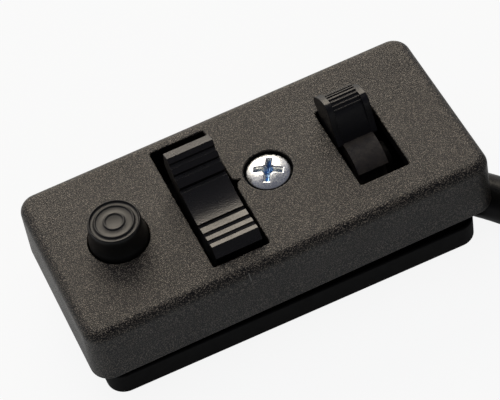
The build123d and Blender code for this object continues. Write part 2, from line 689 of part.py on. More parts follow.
def make_sleeve_coil():
    """Closed outer shape of the wound turns."""
    outer = COIL_R + SLEEVE_R + COIL_CLEARANCE
    inner = COIL_INNER_R - SLEEVE_R - COIL_CLEARANCE
    low = FLOOR_AXIS_Z - SLEEVE_R
    high = FLOOR_AXIS_Z + SLEEVE_R
    ring = rod(outer, low, high, COIL_X, COIL_Y) - rod(inner, low - 1, high + 1, COIL_X, COIL_Y)
    return chamfer(ring.edges().filter_by(GeomType.CIRCLE), COIL_EDGE)


def make_cable_nipple():
    """Ferrule in the end wall that the sleeve is pushed over."""
    return outlet_bar(NIPPLE_R) - outlet_bar(NIPPLE_BORE_R)


def make_cable_sleeve(tray, turns):
    onto_coil = [coil_point(COIL_START, COIL_R), coil_point(COIL_START + COIL_STEP, COIL_R)]
    path, radii = smooth_path(LEAD_POINTS + onto_coil)
    print("lead bend radii", [round(radius, 1) for radius in radii])
    return tube(path, SLEEVE_R) - tray - tray_pocket() - outlet_bar(NIPPLE_R) - turns


def tail_points():
    """Tail that curls from the coil's inner turn in to the connector."""
    centre_x, centre_y, height = coil_point(COIL_END, COIL_INNER_R - TAIL_R)
    points = []
    for step in range(TAIL_STEPS + 1):
        angle = radians(COIL_END + step * TAIL_STEP)
        points.append((centre_x + TAIL_R * cos(angle), centre_y + TAIL_R * sin(angle), height))
    heading = radians(COIL_END + (TAIL_STEPS - 0.5) * TAIL_STEP + 90 + TAIL_STEP)
    last_x, last_y, _ = points.pop()
    points.append((last_x, last_y, CONNECTOR_HEIGHT / 2))
    points.append((last_x + TAIL_RUN * cos(heading), last_y + TAIL_RUN * sin(heading), CONNECTOR_HEIGHT / 2))
    return points


def make_sleeve_tail(turns):
    path, radii = smooth_path(tail_points())
    print("tail bend radii", [round(radius, 1) for radius in radii])
    return tube(path, SLEEVE_R) - turns


def make_inner_wires():
    """Insulated wires from the outlet along the near side of the tray to the terminals."""
    low = BASE_FLOOR + WIRE_R
    high = low + WIRE_PITCH
    lane = WIRE_R + WIRE_WALL_GAP - (NECK_HALF - NECK_WALL)
    horn_face = CONTACT_DISC_R + STRIP_EASE + STRIP
    runs = (
        (lane, low, [(BUTTON_X, BUTTON_Y - horn_face)]),
        (lane, high, [(ROCKER_X, near_strip_face(ROCKER_Y, ROCKER_TOE_R, ROCKER_STRIP_ANGLE))]),
        (lane + WIRE_PITCH, low, [(LEVER_X, near_strip_face(LEVER_Y, LEVER_TOE_R, LEVER_STRIP_ANGLE))]),
    )
    wires = []
    for y, z, ends in runs:
        across_bore = (y - lane) - WIRE_PITCH / 2
        up_bore = (z - low) - WIRE_PITCH / 2
        start_x, start_y, start_z = LEAD_POINTS[0]
        points = [
            (start_x + WIRE_START[0], start_y + WIRE_START[1] + across_bore, start_z + up_bore),
            (start_x + WIRE_ENTRY[0], start_y + WIRE_ENTRY[1] + across_bore, start_z + up_bore),
            (start_x - WIRE_LANE_START, y, z),
            (ends[0][0], y, z),
            (ends[0][0], ends[0][1], z),
        ]
        wires.append(thin_wire(FilletPolyline(*points, radius=WIRE_BEND_R), WIRE_R))
    return Compound(children=wires)


def near_strip_face(y, toe_r, angle):
    """Near face of a switch's near terminal."""
    reach = toe_r + WIPER + CONTACT_GAP + CONTACT_TIP_R
    return y - reach * sin(radians(angle)) - STRIP / 2


# --- connector -----------------------------------------------------------------------
def connector_frame():
    """Local frame at the tail's end: +X onward along the cable, +Z up."""
    points = tail_points()
    before, end = points[-2], points[-1]
    heading = degrees(atan2(end[1] - before[1], end[0] - before[0]))
    return Pos(end[0], end[1], 0) * Rot(0, 0, heading)


def socket_places():
    """Centres of the sockets across the connector's face."""
    middle = CONNECTOR_HEIGHT / 2
    for column in range(CONNECTOR_COLUMNS):
        for row in range(CONNECTOR_ROWS):
            y = (column - (CONNECTOR_COLUMNS - 1) / 2) * CONNECTOR_PITCH
            z = middle + (row - (CONNECTOR_ROWS - 1) / 2) * CONNECTOR_PITCH
            yield y, z


def socket_bar(side, y, z, start, end):
    return block(start, end, y - side / 2, y + side / 2, z - side / 2, z + side / 2)


def make_connector_housing():
    half = CONNECTOR_WIDTH / 2
    body = block(0, CONNECTOR_LENGTH, -half, half, 0, CONNECTOR_HEIGHT)
    body = fillet(body.edges().filter_by(Axis.X), CONNECTOR_EDGE)
    depth = SOCKET_LENGTH + SOCKET_RECESS
    for y, z in socket_places():
        body -= socket_bar(SOCKET_SIDE, y, z, CONNECTOR_LENGTH - depth, CONNECTOR_LENGTH + 1)
    top = CONNECTOR_HEIGHT
    latch_start, latch_end = (CONNECTOR_LENGTH * share for share in LATCH_SPAN)
    latch = block(latch_start, latch_end, -LATCH_WIDTH / 2, LATCH_WIDTH / 2,
                  top - CONNECTOR_EDGE, top + LATCH_HEIGHT)
    latch = chamfer(latch.edges().filter_by(Axis.Y).group_by(Axis.Z)[-1], LATCH_RAMP * LATCH_HEIGHT)
    return connector_frame() * (body + latch)


def make_connector_sockets():
    start = CONNECTOR_LENGTH - SOCKET_LENGTH - SOCKET_RECESS
    end = CONNECTOR_LENGTH - SOCKET_RECESS
    sockets = []
    for y, z in socket_places():
        shell = socket_bar(SOCKET_SIDE, y, z, start, end)
        shell -= socket_bar(SOCKET_BORE, y, z, start + 1, end + 1)
        sockets.append(connector_frame() * shell)
    return Compound(children=sockets)


def make_connector_boot():
    """Shrunk tube over the sleeve's end at the connector."""
    ring = Circle(SLEEVE_R + BOOT_WALL) - Circle(SLEEVE_R)
    boot = across(Pos(0, CONNECTOR_HEIGHT / 2) * ring, -BOOT_LENGTH, 0)
    return connector_frame() * boot


# --- write every piece ---------------------------------------------------------------
base = make_base()
coil = make_sleeve_coil()
pieces = {
    "cover": make_cover(),
    "base": base,
    "screw_insert": make_screw_insert(),
    "cover_screw": make_cover_screw(),
    "horn_button": make_horn_button(),
    "horn_plunger": make_horn_plunger(),
    "horn_contact_disc": make_horn_contact_disc(),
    "horn_spring": make_horn_spring(),
    "dip_rocker": make_rocker(),
    "rocker_pin": make_rocker_pin(),
    "rocker_wiper": make_rocker_wiper(),
    "light_lever": make_lever(),
    "lever_pin": make_lever_pin(),
    "lever_wiper": make_lever_wiper(),
    "inner_wires": make_inner_wires(),
    "cable_nipple": make_cable_nipple(),
    "cable_sleeve": make_cable_sleeve(base, coil),
    "sleeve_coil": coil,
    "sleeve_tail": make_sleeve_tail(coil),
    "connector_housing": make_connector_housing(),
    "connector_boot": make_connector_boot(),
    "connector_sockets": make_connector_sockets(),
}
pieces.update(terminal_solids())
for name, solid in pieces.items():
    export_step(solid, "parts/" + name + ".step")
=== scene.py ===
"""Looks of a scooter's handlebar light switch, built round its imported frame.

The switch is a moulded cover on a base, with a horn button, a dip rocker, a light lever, one screw and a
sleeved cable. Sizes in the classes are millimetres; meshes are written in metres in the frame's own axes:
+X to the cable end, +Y across the switch, +Z up.
"""

import json
import logging
import math
from collections.abc import Iterable, Sequence
from dataclasses import dataclass
from enum import Enum, IntEnum

import bmesh
import bpy
from mathutils import Matrix, Vector


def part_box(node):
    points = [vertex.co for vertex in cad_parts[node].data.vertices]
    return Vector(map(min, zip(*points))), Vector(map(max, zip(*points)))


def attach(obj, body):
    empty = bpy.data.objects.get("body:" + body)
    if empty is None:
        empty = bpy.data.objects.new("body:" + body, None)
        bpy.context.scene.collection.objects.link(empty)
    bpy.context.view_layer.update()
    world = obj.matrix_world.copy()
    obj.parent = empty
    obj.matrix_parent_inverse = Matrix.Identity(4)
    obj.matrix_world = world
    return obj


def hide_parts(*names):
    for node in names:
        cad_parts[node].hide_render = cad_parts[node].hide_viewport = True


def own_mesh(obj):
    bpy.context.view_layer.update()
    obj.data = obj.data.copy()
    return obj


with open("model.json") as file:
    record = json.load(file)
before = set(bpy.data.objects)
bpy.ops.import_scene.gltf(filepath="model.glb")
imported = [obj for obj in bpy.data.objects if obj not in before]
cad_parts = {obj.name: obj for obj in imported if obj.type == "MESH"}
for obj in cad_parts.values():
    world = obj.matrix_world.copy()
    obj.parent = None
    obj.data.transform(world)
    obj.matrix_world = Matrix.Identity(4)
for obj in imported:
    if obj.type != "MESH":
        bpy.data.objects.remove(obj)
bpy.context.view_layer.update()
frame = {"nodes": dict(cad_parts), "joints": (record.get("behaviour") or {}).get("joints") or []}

LOG = logging.getLogger("light_switch")
MM = 0.001
WHITE = "ffffff"
NOISE_FADE = 0.55
Point2 = tuple[float, float]
Point3 = tuple[float, float, float]
Ring = list[bmesh.types.BMVert]
NOISE_BAND: Point2 = (0.3, 0.7)


# --- colours and nodes -----------------------------------------------------------------
def linear(hex_colour: str) -> tuple[float, float, float, float]:
    """Turn an sRGB hex colour into linear RGBA.

    Args:
        hex_colour: Six hex digits, such as "4a453f".

    Returns:
        Linear red, green, blue and an alpha of 1.
    """
    channels = [int(hex_colour[start:start + 2], 16) / 255 for start in (0, 2, 4)]
    toe = [value / 12.92 if value <= 0.04045 else ((value + 0.055) / 1.055) ** 2.4 for value in channels]
    return toe[0], toe[1], toe[2], 1.0


def per_metre(size_mm: float) -> float:
    """How often a pattern of a real size in millimetres repeats in a metre."""
    return 1 / (size_mm * MM)


def add_node(tree: bpy.types.NodeTree, kind: str, inputs: dict[str | int, object] | None = None,
             **settings: object) -> bpy.types.Node:
    """Add a shader node with its settings, values and links.

    Args:
        tree: Node tree that gets the node.
        kind: Node type name.
        inputs: Input name or index to a plain value, to the output socket that feeds it, or to the node that
            feeds it by its first output.
        **settings: Attributes set on the node itself.

    Returns:
        The new node.
    """
    node = tree.nodes.new(kind)
    for name, value in settings.items():
        setattr(node, name, value)
    for name, value in (inputs or {}).items():
        if isinstance(value, bpy.types.Node):
            value = value.outputs[0]
        if isinstance(value, bpy.types.NodeSocket):
            tree.links.new(value, node.inputs[name])
        else:
            node.inputs[name].default_value = value
    return node


def new_material(name: str) -> tuple[bpy.types.Material, bpy.types.NodeTree, bpy.types.NodeSocket]:
    """Make an empty material.

    Args:
        name: Material name.

    Returns:
        The material, its node tree, and a socket with the place on the switch in metres.
    """
    material = bpy.data.materials.new(name)
    material.use_nodes = True
    tree = material.node_tree
    tree.nodes.clear()
    return material, tree, add_node(tree, "ShaderNodeTexCoord").outputs["Object"]


def close_surface(tree: bpy.types.NodeTree, colour: bpy.types.NodeSocket | Sequence[float],
                  relief: tuple[bpy.types.Node, float, float], gloss: tuple[bpy.types.Node, float, float] | None = None,
                  band: Point2 = NOISE_BAND, **plain: float) -> None:
    """Give a material its shader, with relief and roughness that follow patterns.

    Args:
        tree: Node tree that gets the nodes.
        colour: Linear colour, or the socket that feeds it.
        relief: Pattern of the height, the relief's depth in millimetres, and how far it turns the light, 0 to 1.
        gloss: Pattern of the roughness, and the roughness where it is low and where it is high.
        band: Values of the gloss pattern that count as low and as high.
        **plain: Shader inputs that are the same all over, by their names with _ for a space.
    """
    inputs = {name.replace("_", " "): value for name, value in plain.items()}
    if gloss is not None:
        inputs["Roughness"] = add_node(tree, "ShaderNodeMapRange", {"Value": gloss[0], "From Min": band[0],
                                                                    "From Max": band[1], "To Min": gloss[1],
                                                                    "To Max": gloss[2]})
    normal = add_node(tree, "ShaderNodeBump", {"Height": relief[0], "Distance": relief[1] * MM, "Strength": relief[2]})
    shader = add_node(tree, "ShaderNodeBsdfPrincipled", {"Base Color": colour, "Normal": normal, **inputs})
    add_node(tree, "ShaderNodeOutputMaterial", {"Surface": shader})


# --- finishes --------------------------------------------------------------------------
@dataclass(frozen=True)
class GrainedAbs:
    """Black ABS moulded in a spark-eroded tool: a fine even grain, its crowns painted warm grey as a painted sparkle of
    light.

    One short scuff runs down the near wall, below the rocker: a line 2 mm long that leans a little.
    """

    name: str = "grained_abs"
    valley: str = "060607"
    # Warm grey painted on the grain's crowns: a painted highlight, the sparkle that the black grain scatters.
    crown: str = "6e675f"
    glint_paint_from: float = 0.55
    glint_paint_to: float = 0.59
    # The real grain is 0.05 to 0.1 mm wide, too fine to show, so it is drawn coarser.
    grain_mm: float = 0.17
    grain_depth_mm: float = 0.12
    wear_mm: float = 9.0
    wear_shift: float = 0.3
    roughness: float = 0.33
    spread: Point2 = (-0.05, 0.07)
    shine: float = 0.28
    ior: float = 1.54
    scuff: str = "8c8b88"
    scuff_x: float = -6.6
    scuff_lean: float = 0.06
    scuff_half: float = 0.04
    scuff_fade: float = 0.1
    scuff_share: float = 0.75
    scuff_spans: tuple[tuple[str, float, float, float, float], ...] = (
        ("Z", 16.3, 16.8, 0.0, 1.0), ("Z", 18.1, 18.4, 1.0, 0.0), ("Y", -15.4, -15.2, 1.0, 0.0))

    def scuffed(self, tree: bpy.types.NodeTree, place: bpy.types.NodeSocket) -> bpy.types.Node:
        """Share of scuffed plastic.

        Args:
            tree: Node tree that gets the nodes.
            place: Socket with the place on the switch in metres.

        Returns:
            Node with a value from 0 to 1.
        """
        spot = add_node(tree, "ShaderNodeSeparateXYZ", {0: place})
        lean = add_node(tree, "ShaderNodeMath", {0: spot.outputs["Z"], 1: self.scuff_lean, 2: spot.outputs["X"]},
                        operation="MULTIPLY_ADD")
        aside = add_node(tree, "ShaderNodeMath", {0: lean, 1: -self.scuff_x * MM}, operation="ADD")
        apart = add_node(tree, "ShaderNodeMath", {0: aside}, operation="ABSOLUTE")
        share = add_node(tree, "ShaderNodeMapRange",
                         {"Value": apart, "From Min": self.scuff_half * MM, "From Max": self.scuff_fade * MM,
                          "To Min": self.scuff_share, "To Max": 0.0})
        for axis, low, high, to_low, to_high in self.scuff_spans:
            span = add_node(tree, "ShaderNodeMapRange",
                            {"Value": spot.outputs[axis], "From Min": low * MM, "From Max": high * MM,
                             "To Min": to_low, "To Max": to_high})
            share = add_node(tree, "ShaderNodeMath", {0: share, 1: span}, operation="MULTIPLY")
        return share

    def build(self) -> bpy.types.Material:
        """Build the material.

        Returns:
            The material.
        """
        material, tree, place = new_material(self.name)
        grain = add_node(tree, "ShaderNodeTexNoise", {"Vector": place, "Scale": per_metre(self.grain_mm),
                                                      "Detail": 3.0, "Roughness": NOISE_FADE})
        # Painted highlight: the grain's highest crowns take the warm grey, as painted glints.
        glint_paint_share = add_node(tree, "ShaderNodeMapRange",
                        {"Value": grain, "From Min": self.glint_paint_from, "From Max": self.glint_paint_to})
        moulded = add_node(tree, "ShaderNodeMix", {"Factor": glint_paint_share, 6: linear(self.valley), 7: linear(self.crown)},
                           data_type="RGBA")
        worn = add_node(tree, "ShaderNodeMix",
                        {"Factor": self.scuffed(tree, place), 6: moulded.outputs[2], 7: linear(self.scuff)},
                        data_type="RGBA")
        moved = add_node(tree, "ShaderNodeVectorMath", {0: place, 1: [self.wear_shift] * 3}, operation="ADD")
        wear = add_node(tree, "ShaderNodeTexNoise", {"Vector": moved, "Scale": per_metre(self.wear_mm),
                                                     "Detail": 2.0, "Roughness": NOISE_FADE})
        close_surface(tree, worn.outputs[2], (grain, self.grain_depth_mm, 1.0),
                      (wear, self.roughness + self.spread[0], self.roughness + self.spread[1]),
                      IOR=self.ior, Specular_IOR_Level=self.shine)
        return material


@dataclass(frozen=True)
class SatinNylon:
    """Moulded nylon or ABS from a smooth tool: an even satin with a faint flow pattern and a little orange peel."""

    name: str
    colour: str
    streak: str
    roughness: float
    spread: Point2 = (-0.04, 0.05)
    flow_mm: float = 1.6
    # Real orange peel is about 0.1 mm wide here, too fine to show, so it is drawn coarser.
    orange_peel_mm: float = 0.5
    peel_depth_mm: float = 0.07
    peel: float = 0.05
    shine: float = 0.5
    ior: float = 1.53

    def build(self) -> bpy.types.Material:
        """Build the material.

        Returns:
            The material.
        """
        material, tree, place = new_material(self.name)
        flow = add_node(tree, "ShaderNodeTexNoise", {"Vector": place, "Scale": per_metre(self.flow_mm),
                                                     "Detail": 3.0, "Roughness": NOISE_FADE})
        body = add_node(tree, "ShaderNodeMix", {"Factor": flow, 6: linear(self.colour), 7: linear(self.streak)},
                        data_type="RGBA")
        peel = add_node(tree, "ShaderNodeTexNoise", {"Vector": place, "Scale": per_metre(self.orange_peel_mm),
                                                     "Detail": 1.0, "Roughness": NOISE_FADE})
        close_surface(tree, body.outputs[2], (peel, self.peel_depth_mm, self.peel),
                      (flow, self.roughness + self.spread[0], self.roughness + self.spread[1]),
                      IOR=self.ior, Specular_IOR_Level=self.shine)
        return material


@dataclass(frozen=True)
class MouldedRubber:
    """Compression-moulded black rubber: soft and dull, with paler patches where wax has bloomed."""

    name: str
    colour: str
    bloom: str
    roughness: float
    bloom_mm: float = 0.8
    bloom_band: Point2 = (0.35, 0.7)
    # The real skin's roughness is about 0.05 mm wide, too fine to show, so it is drawn coarser.
    skin_mm: float = 0.18
    skin_depth_mm: float = 0.012
    skin: float = 0.35
    shine: float = 0.42
    ior: float = 1.52

    def build(self) -> bpy.types.Material:
        """Build the material.

        Returns:
            The material.
        """
        material, tree, place = new_material(self.name)
        bloom = add_node(tree, "ShaderNodeTexNoise", {"Vector": place, "Scale": per_metre(self.bloom_mm),
                                                      "Detail": 4.0, "Roughness": NOISE_FADE})
        share = add_node(tree, "ShaderNodeMapRange",
                         {"Value": bloom, "From Min": self.bloom_band[0], "From Max": self.bloom_band[1]})
        body = add_node(tree, "ShaderNodeMix", {"Factor": share, 6: linear(self.colour), 7: linear(self.bloom)},
                        data_type="RGBA")
        skin = add_node(tree, "ShaderNodeTexNoise", {"Vector": place, "Scale": per_metre(self.skin_mm),
                                                     "Detail": 2.0, "Roughness": NOISE_FADE})
        close_surface(tree, body.outputs[2], (skin, self.skin_depth_mm, self.skin), Roughness=self.roughness,
                      IOR=self.ior, Specular_IOR_Level=self.shine)
        return material


@dataclass(frozen=True)
class BrightMetal:
    """Pressed or drawn metal: told apart by colour, with fine tool marks that blur what it mirrors."""

    name: str
    colour: str
    roughness: float
    spread: Point2 = (0.8, 1.25)
    # Real tool marks are 0.01 to 0.03 mm wide, too fine to show, so they are drawn coarser.
    scratch_mm: float = 0.12
    scratch_depth_mm: float = 0.003
    scratch: float = 0.25

    def build(self) -> bpy.types.Material:
        """Build the material.

        Returns:
            The material.
        """
        material, tree, place = new_material(self.name)
        scratch = add_node(tree, "ShaderNodeTexNoise", {"Vector": place, "Scale": per_metre(self.scratch_mm),
                                                        "Detail": 3.0, "Roughness": NOISE_FADE})
        close_surface(tree, linear(self.colour), (scratch, self.scratch_depth_mm, self.scratch),
                      (scratch, self.roughness * self.spread[0], self.roughness * self.spread[1]), Metallic=1.0)
        return material


@dataclass(frozen=True)
class PlatedZinc:
    """Bright zinc plating with a blue passivate: mottled by its crystals, and bluer where it pools in the recess."""

    name: str = "bright_zinc"
    colour: str = "e2e5e6"
    passivate: str = "9cc4ee"
    # Real plating crystals are 0.01 to 0.05 mm wide, too fine to show, so they are drawn coarser.
    crystal_mm: float = 0.35
    crystal_depth_mm: float = 0.02
    crystal: float = 0.5
    crystal_band: Point2 = (0.35, 0.65)
    roughness: float = 0.3
    spread: Point2 = (0.6, 1.4)
    land_z: float = 18.5
    pool_z: float = 17.9

    def build(self) -> bpy.types.Material:
        """Build the material.

        Returns:
            The material.
        """
        material, tree, place = new_material(self.name)
        crystal = add_node(tree, "ShaderNodeTexNoise", {"Vector": place, "Scale": per_metre(self.crystal_mm),
                                                        "Detail": 3.0, "Roughness": NOISE_FADE})
        height = add_node(tree, "ShaderNodeSeparateXYZ", {0: place}).outputs["Z"]
        pooled = add_node(tree, "ShaderNodeMapRange",
                          {"Value": height, "From Min": self.pool_z * MM, "From Max": self.land_z * MM,
                           "To Min": 1.0, "To Max": 0.0})
        body = add_node(tree, "ShaderNodeMix", {"Factor": pooled, 6: linear(self.colour), 7: linear(self.passivate)},
                        data_type="RGBA")
        close_surface(tree, body.outputs[2], (crystal, self.crystal_depth_mm, self.crystal),
                      (crystal, self.roughness * self.spread[0], self.roughness * self.spread[1]),
                      self.crystal_band, Metallic=1.0)
        return material


@dataclass(frozen=True)
class SoftVinyl:
    """Extruded PVC sleeve or wire insulation: glossy, with shallow waves along its run."""

    name: str
    colour: str
    roughness: float
    spread: Point2 = (-0.05, 0.08)
    wave_mm: float = 3.5
    wave_depth_mm: float = 0.15
    wave: float = 0.5
    shine: float = 0.16
    ior: float = 1.53

    def build(self) -> bpy.types.Material:
        """Build the material.

        Returns:
            The material.
        """
        material, tree, place = new_material(self.name)
        waves = add_node(tree, "ShaderNodeTexNoise", {"Vector": place, "Scale": per_metre(self.wave_mm),
                                                      "Detail": 2.0, "Roughness": NOISE_FADE})
        close_surface(tree, linear(self.colour), (waves, self.wave_depth_mm, self.wave),
                      (waves, self.roughness + self.spread[0], self.roughness + self.spread[1]),
                      IOR=self.ior, Specular_IOR_Level=self.shine)
        return material


class Finish(Enum):
    """Every finish on the switch, by the piece or material that wears it."""

    # ABS from a spark-eroded tool: a matt black grain, its crowns painted warm grey as a painted sparkle of light.
    COVER = GrainedAbs()
    # The same ABS off a polished core: plain and nearly black inside the openings.
    COVER_CORE = SatinNylon("smooth_abs", colour="060606", streak="0a0909", roughness=0.5, shine=0.2)
    # Glass-filled nylon, moulded: a flat dull black with hardly a highlight.
    BASE = SatinNylon("base_nylon", colour="080808", streak="0f0e0e", roughness=0.55, shine=0.08)
    # Nylon from a polished tool: broad soft highlights on the lands, broken up a little by orange peel.
    ROCKER = SatinNylon("satin_nylon_key", colour="090808", streak="0f0d0c", roughness=0.3, orange_peel_mm=0.26,
                        peel=0.7)
    # Nylon that its slot has rubbed: brownish patches where the skin is worn through.
    LEVER_TOE = SatinNylon("rubbed_nylon", colour="07070c", streak="3a3530", roughness=0.45, flow_mm=1.1,
                           orange_peel_mm=0.3, peel=0.8, shine=0.4)
    # Nylon as the rocker's, but handled more: softer highlights.
    LEVER = SatinNylon("satin_nylon_lever", colour="08080a", streak="0e0d0f", roughness=0.4, orange_peel_mm=0.3,
                       peel=0.5, shine=0.4)
    # Undyed nylon, moulded: milky white, waxy.
    NATURAL = SatinNylon("natural_nylon", colour="d8d4c8", streak="e4e0d4", roughness=0.4)
    # Rubber, compression-moulded: a soft sheen on its ridges and deep black between them.
    BUTTON = MouldedRubber("moulded_rubber", colour="060606", bloom="0e0e0d", roughness=0.42)
    # Foam rubber, die-cut: no shine at all.
    SEAL = MouldedRubber("foam_seal", colour="060606", bloom="0b0b0b", roughness=0.9)
    # Polyolefin tube, heat-shrunk: grey-black with a dull sheen.
    BOOT = MouldedRubber("shrunk_tube", colour="101010", bloom="191918", roughness=0.5)
    # Steel, zinc-plated: pale and bright, with blue in its recess.
    ZINC = PlatedZinc()
    # Brass, pressed from strip: warm yellow, fine marks.
    BRASS = BrightMetal("pressed_brass", colour="d9b46a", roughness=0.3)
    # Steel, ground and browned by age: dark and dull.
    PIN = BrightMetal("browned_steel", colour="4a2f22", roughness=0.55)
    # Spring steel, drawn: cool grey, fairly bright.
    STEEL = BrightMetal("drawn_steel", colour="a9abad", roughness=0.3)
    # PVC, extruded: black with one long highlight that wavers along the run.
    SLEEVE = SoftVinyl("vinyl_sleeve", colour="0d0d0c", roughness=0.3)
    # PVC, extruded thin round copper: dark red-brown, less glossy.
    WIRE = SoftVinyl("wire_insulation", colour="4a1a14", roughness=0.35, wave_mm=5.0)

    def material(self) -> bpy.types.Material:
        """Return the finish's material, built the first time it is asked for."""
        return bpy.data.materials.get(self.value.name) or self.value.build()


class Slot(IntEnum):
    """Which of a piece's own materials a face wears."""

    SKIN = 0
    CORE = 1


# --- mesh helpers ----------------------------------------------------------------------
SMALLEST_CORNER = 0.02
SHARPEST_SHARE = 0.45
ON_AXIS = 1e-6


def arc(centre: Point2, radius: float, start: float, end: float, steps: int) -> list[Point2]:
    """Points along a circular arc.

    Args:
        centre: Arc's centre.
        radius: Arc's radius.
        start: First angle in degrees.
        end: Last angle in degrees.
        steps: Number of spans.

    Returns:
        Points from start to end, both included.
    """
    angles = [math.radians(start + (end - start) * step / steps) for step in range(steps + 1)]
    return [(centre[0] + radius * math.cos(angle), centre[1] + radius * math.sin(angle)) for angle in angles]


def arc_through(first: Point2, middle: Point2, last: Point2, steps: int) -> list[Point2]:
    """Points along the arc through three points.

    Args:
        first: Arc's first point.
        middle: A point on the arc.
        last: Arc's last point.
        steps: Number of spans.

    Returns:
        Points from first to last, both included.
    """
    (ax, ay), (bx, by), (cx, cy) = first, middle, last
    twice = 2 * (ax * (by - cy) + bx * (cy - ay) + cx * (ay - by))
    a2, b2, c2 = ax * ax + ay * ay, bx * bx + by * by, cx * cx + cy * cy
    centre = ((a2 * (by - cy) + b2 * (cy - ay) + c2 * (ay - by)) / twice,
              (a2 * (cx - bx) + b2 * (ax - cx) + c2 * (bx - ax)) / twice)
    start, via, end = (math.degrees(math.atan2(y - centre[1], x - centre[0])) for x, y in (first, middle, last))
    turn = (end - start) % 360
    if (via - start) % 360 > turn:
        turn -= 360
    return arc(centre, math.dist(centre, first), start, start + turn, steps)


def rounded_rectangle(length: float, width: float, corner: float, steps: int = 8,
                      centre: Point2 = (0.0, 0.0)) -> list[Point2]:
    """Counter-clockwise outline of a rectangle with round corners.

    Args:
        length: Size along X.
        width: Size along Y.
        corner: Corner radius.
        steps: Spans in each corner.
        centre: Middle of the rectangle.

    Returns:
        Points of the outline, the first not repeated.
    """
    corner = max(corner, SMALLEST_CORNER)
    across, along = length / 2 - corner, width / 2 - corner
    places = ((across, along, 0), (-across, along, 90), (-across, -along, 180), (across, -along, 270))
    points = []
    for x, y, start in places:
        points += arc((centre[0] + x, centre[1] + y), corner, start, start + 90, steps)
    return points


def offset(outline: Sequence[Point2], distance: float) -> list[Point2]:
    """Move a counter-clockwise outline outward.

    Args:
        outline: Closed outline.
        distance: How far each side moves out; negative moves it in.

    Returns:
        As many points, moved along the corners' bisectors.
    """
    moved = []
    count = len(outline)
    for index, (x, y) in enumerate(outline):
        before = Vector(outline[index - 1])
        here = Vector((x, y))
        after = Vector(outline[(index + 1) % count])
        first = (here - before).normalized()
        second = (after - here).normalized()
        normal = Vector((first.y + second.y, -first.x - second.x)).normalized()
        share = max(SHARPEST_SHARE, normal.dot(Vector((first.y, -first.x))))
        moved.append((x + normal.x * distance / share, y + normal.y * distance / share))
    return moved


class MeshBuilder:
    """Collects rings of points in millimetres and turns them into one smooth-shaded mesh object."""

    def __init__(self) -> None:
        """Start an empty mesh."""
        self.mesh = bmesh.new()

    def ring(self, points: Iterable[Point3]) -> Ring:
        """Add a closed ring of points, in millimetres."""
        return [self.mesh.verts.new(Vector(point) * MM) for point in points]

    def level(self, outline: Iterable[Point2], height: float) -> Ring:
        """Add a closed outline at one height."""
        return self.ring((x, y, height) for x, y in outline)

    def bridge(self, *rings: Ring, slot: Slot = Slot.SKIN) -> None:
        """Join rings of equal length by quads, in order.

        Args:
            *rings: Rings from one end to the other.
            slot: Material slot of the quads.
        """
        for lower, upper in zip(rings, rings[1:]):
            count = len(lower)
            for index in range(count):
                after = (index + 1) % count
                face = self.mesh.faces.new((lower[index], lower[after], upper[after], upper[index]))
                face.material_index = slot

    def cap(self, ring: Ring, slot: Slot = Slot.SKIN) -> None:
        """Close a ring with one face, in one material slot."""
        self.mesh.faces.new(ring).material_index = slot

    def fill(self, *rings: Ring) -> None:
        """Fill the flat area between an outer ring and the rings inside it.

        Args:
            *rings: The outer ring, then those inside it.
        """
        edges = []
        for ring in rings:
            for index, vert in enumerate(ring):
                after = ring[(index + 1) % len(ring)]
                edges.append(self.mesh.edges.get((vert, after)) or self.mesh.edges.new((vert, after)))
        bmesh.ops.triangle_fill(self.mesh, use_beauty=True, edges=edges, normal=(0, 0, 1))

    def finish(self, name: str, finish: Finish, sharp: float = 38.0,
               transform: Matrix | None = None) -> bpy.types.Object:
        """Write the mesh to a new object.

        Args:
            name: Object name.
            finish: Finish that the object wears.
            sharp: Angle in degrees above which an edge stays crisp.
            transform: Placement in the frame, with its translation in metres.

        Returns:
            The new object.
        """
        bmesh.ops.recalc_face_normals(self.mesh, faces=self.mesh.faces)
        if transform is not None:
            self.mesh.transform(transform)
        data = bpy.data.meshes.new(name)
        self.mesh.to_mesh(data)
        self.mesh.free()
        data.shade_smooth()
        data.set_sharp_from_angle(angle=math.radians(sharp))
        data.materials.append(finish.material())
        made = bpy.data.objects.new(name, data)
        bpy.context.scene.collection.objects.link(made)
        return made


def weigh_normals(piece: bpy.types.Object) -> None:
    """Let the large faces of a piece decide its shading, so that flats look flat beside their rounded edges."""
    weigher = piece.modifiers.new("flat_faces", "WEIGHTED_NORMAL")
    weigher.keep_sharp = True


def round_edges(piece: bpy.types.Object, radius: float, angle: float = 32.0, segments: int = 3) -> None:
    """Round a piece's crisp edges.

    Args:
        piece: Object to round.
        radius: Edge radius in millimetres.
        angle: Only edges that turn by more than this, in degrees, are rounded.
        segments: Spans across each rounded edge.
    """
    bevel = piece.modifiers.new("edges", "BEVEL")
    bevel.width = radius * MM
    bevel.segments = segments
    bevel.limit_method = "ANGLE"
    bevel.angle_limit = math.radians(angle)
    bevel.harden_normals = True


def revolved(profile: Sequence[Point2], segments: int) -> MeshBuilder:
    """Turn a profile of (radius, height) points about the Z axis.

    Args:
        profile: Points from the axis outward and back to the axis.
        segments: Spans round the axis.

    Returns:
        Builder that holds the closed solid.
    """
    builder = MeshBuilder()
    rings = []
    for radius, height in profile:
        if radius < ON_AXIS:
            rings.append(builder.ring([(0.0, 0.0, height)]))
        else:
            turn = [2 * math.pi * index / segments for index in range(segments)]
            rings.append(builder.ring((radius * math.cos(a), radius * math.sin(a), height) for a in turn))
    for lower, upper in zip(rings, rings[1:]):
        for index in range(segments):
            after = (index + 1) % segments
            corners = [lower[index % len(lower)], lower[after % len(lower)],
                       upper[after % len(upper)], upper[index % len(upper)]]
            builder.mesh.faces.new(list(dict.fromkeys(corners)))
    return builder


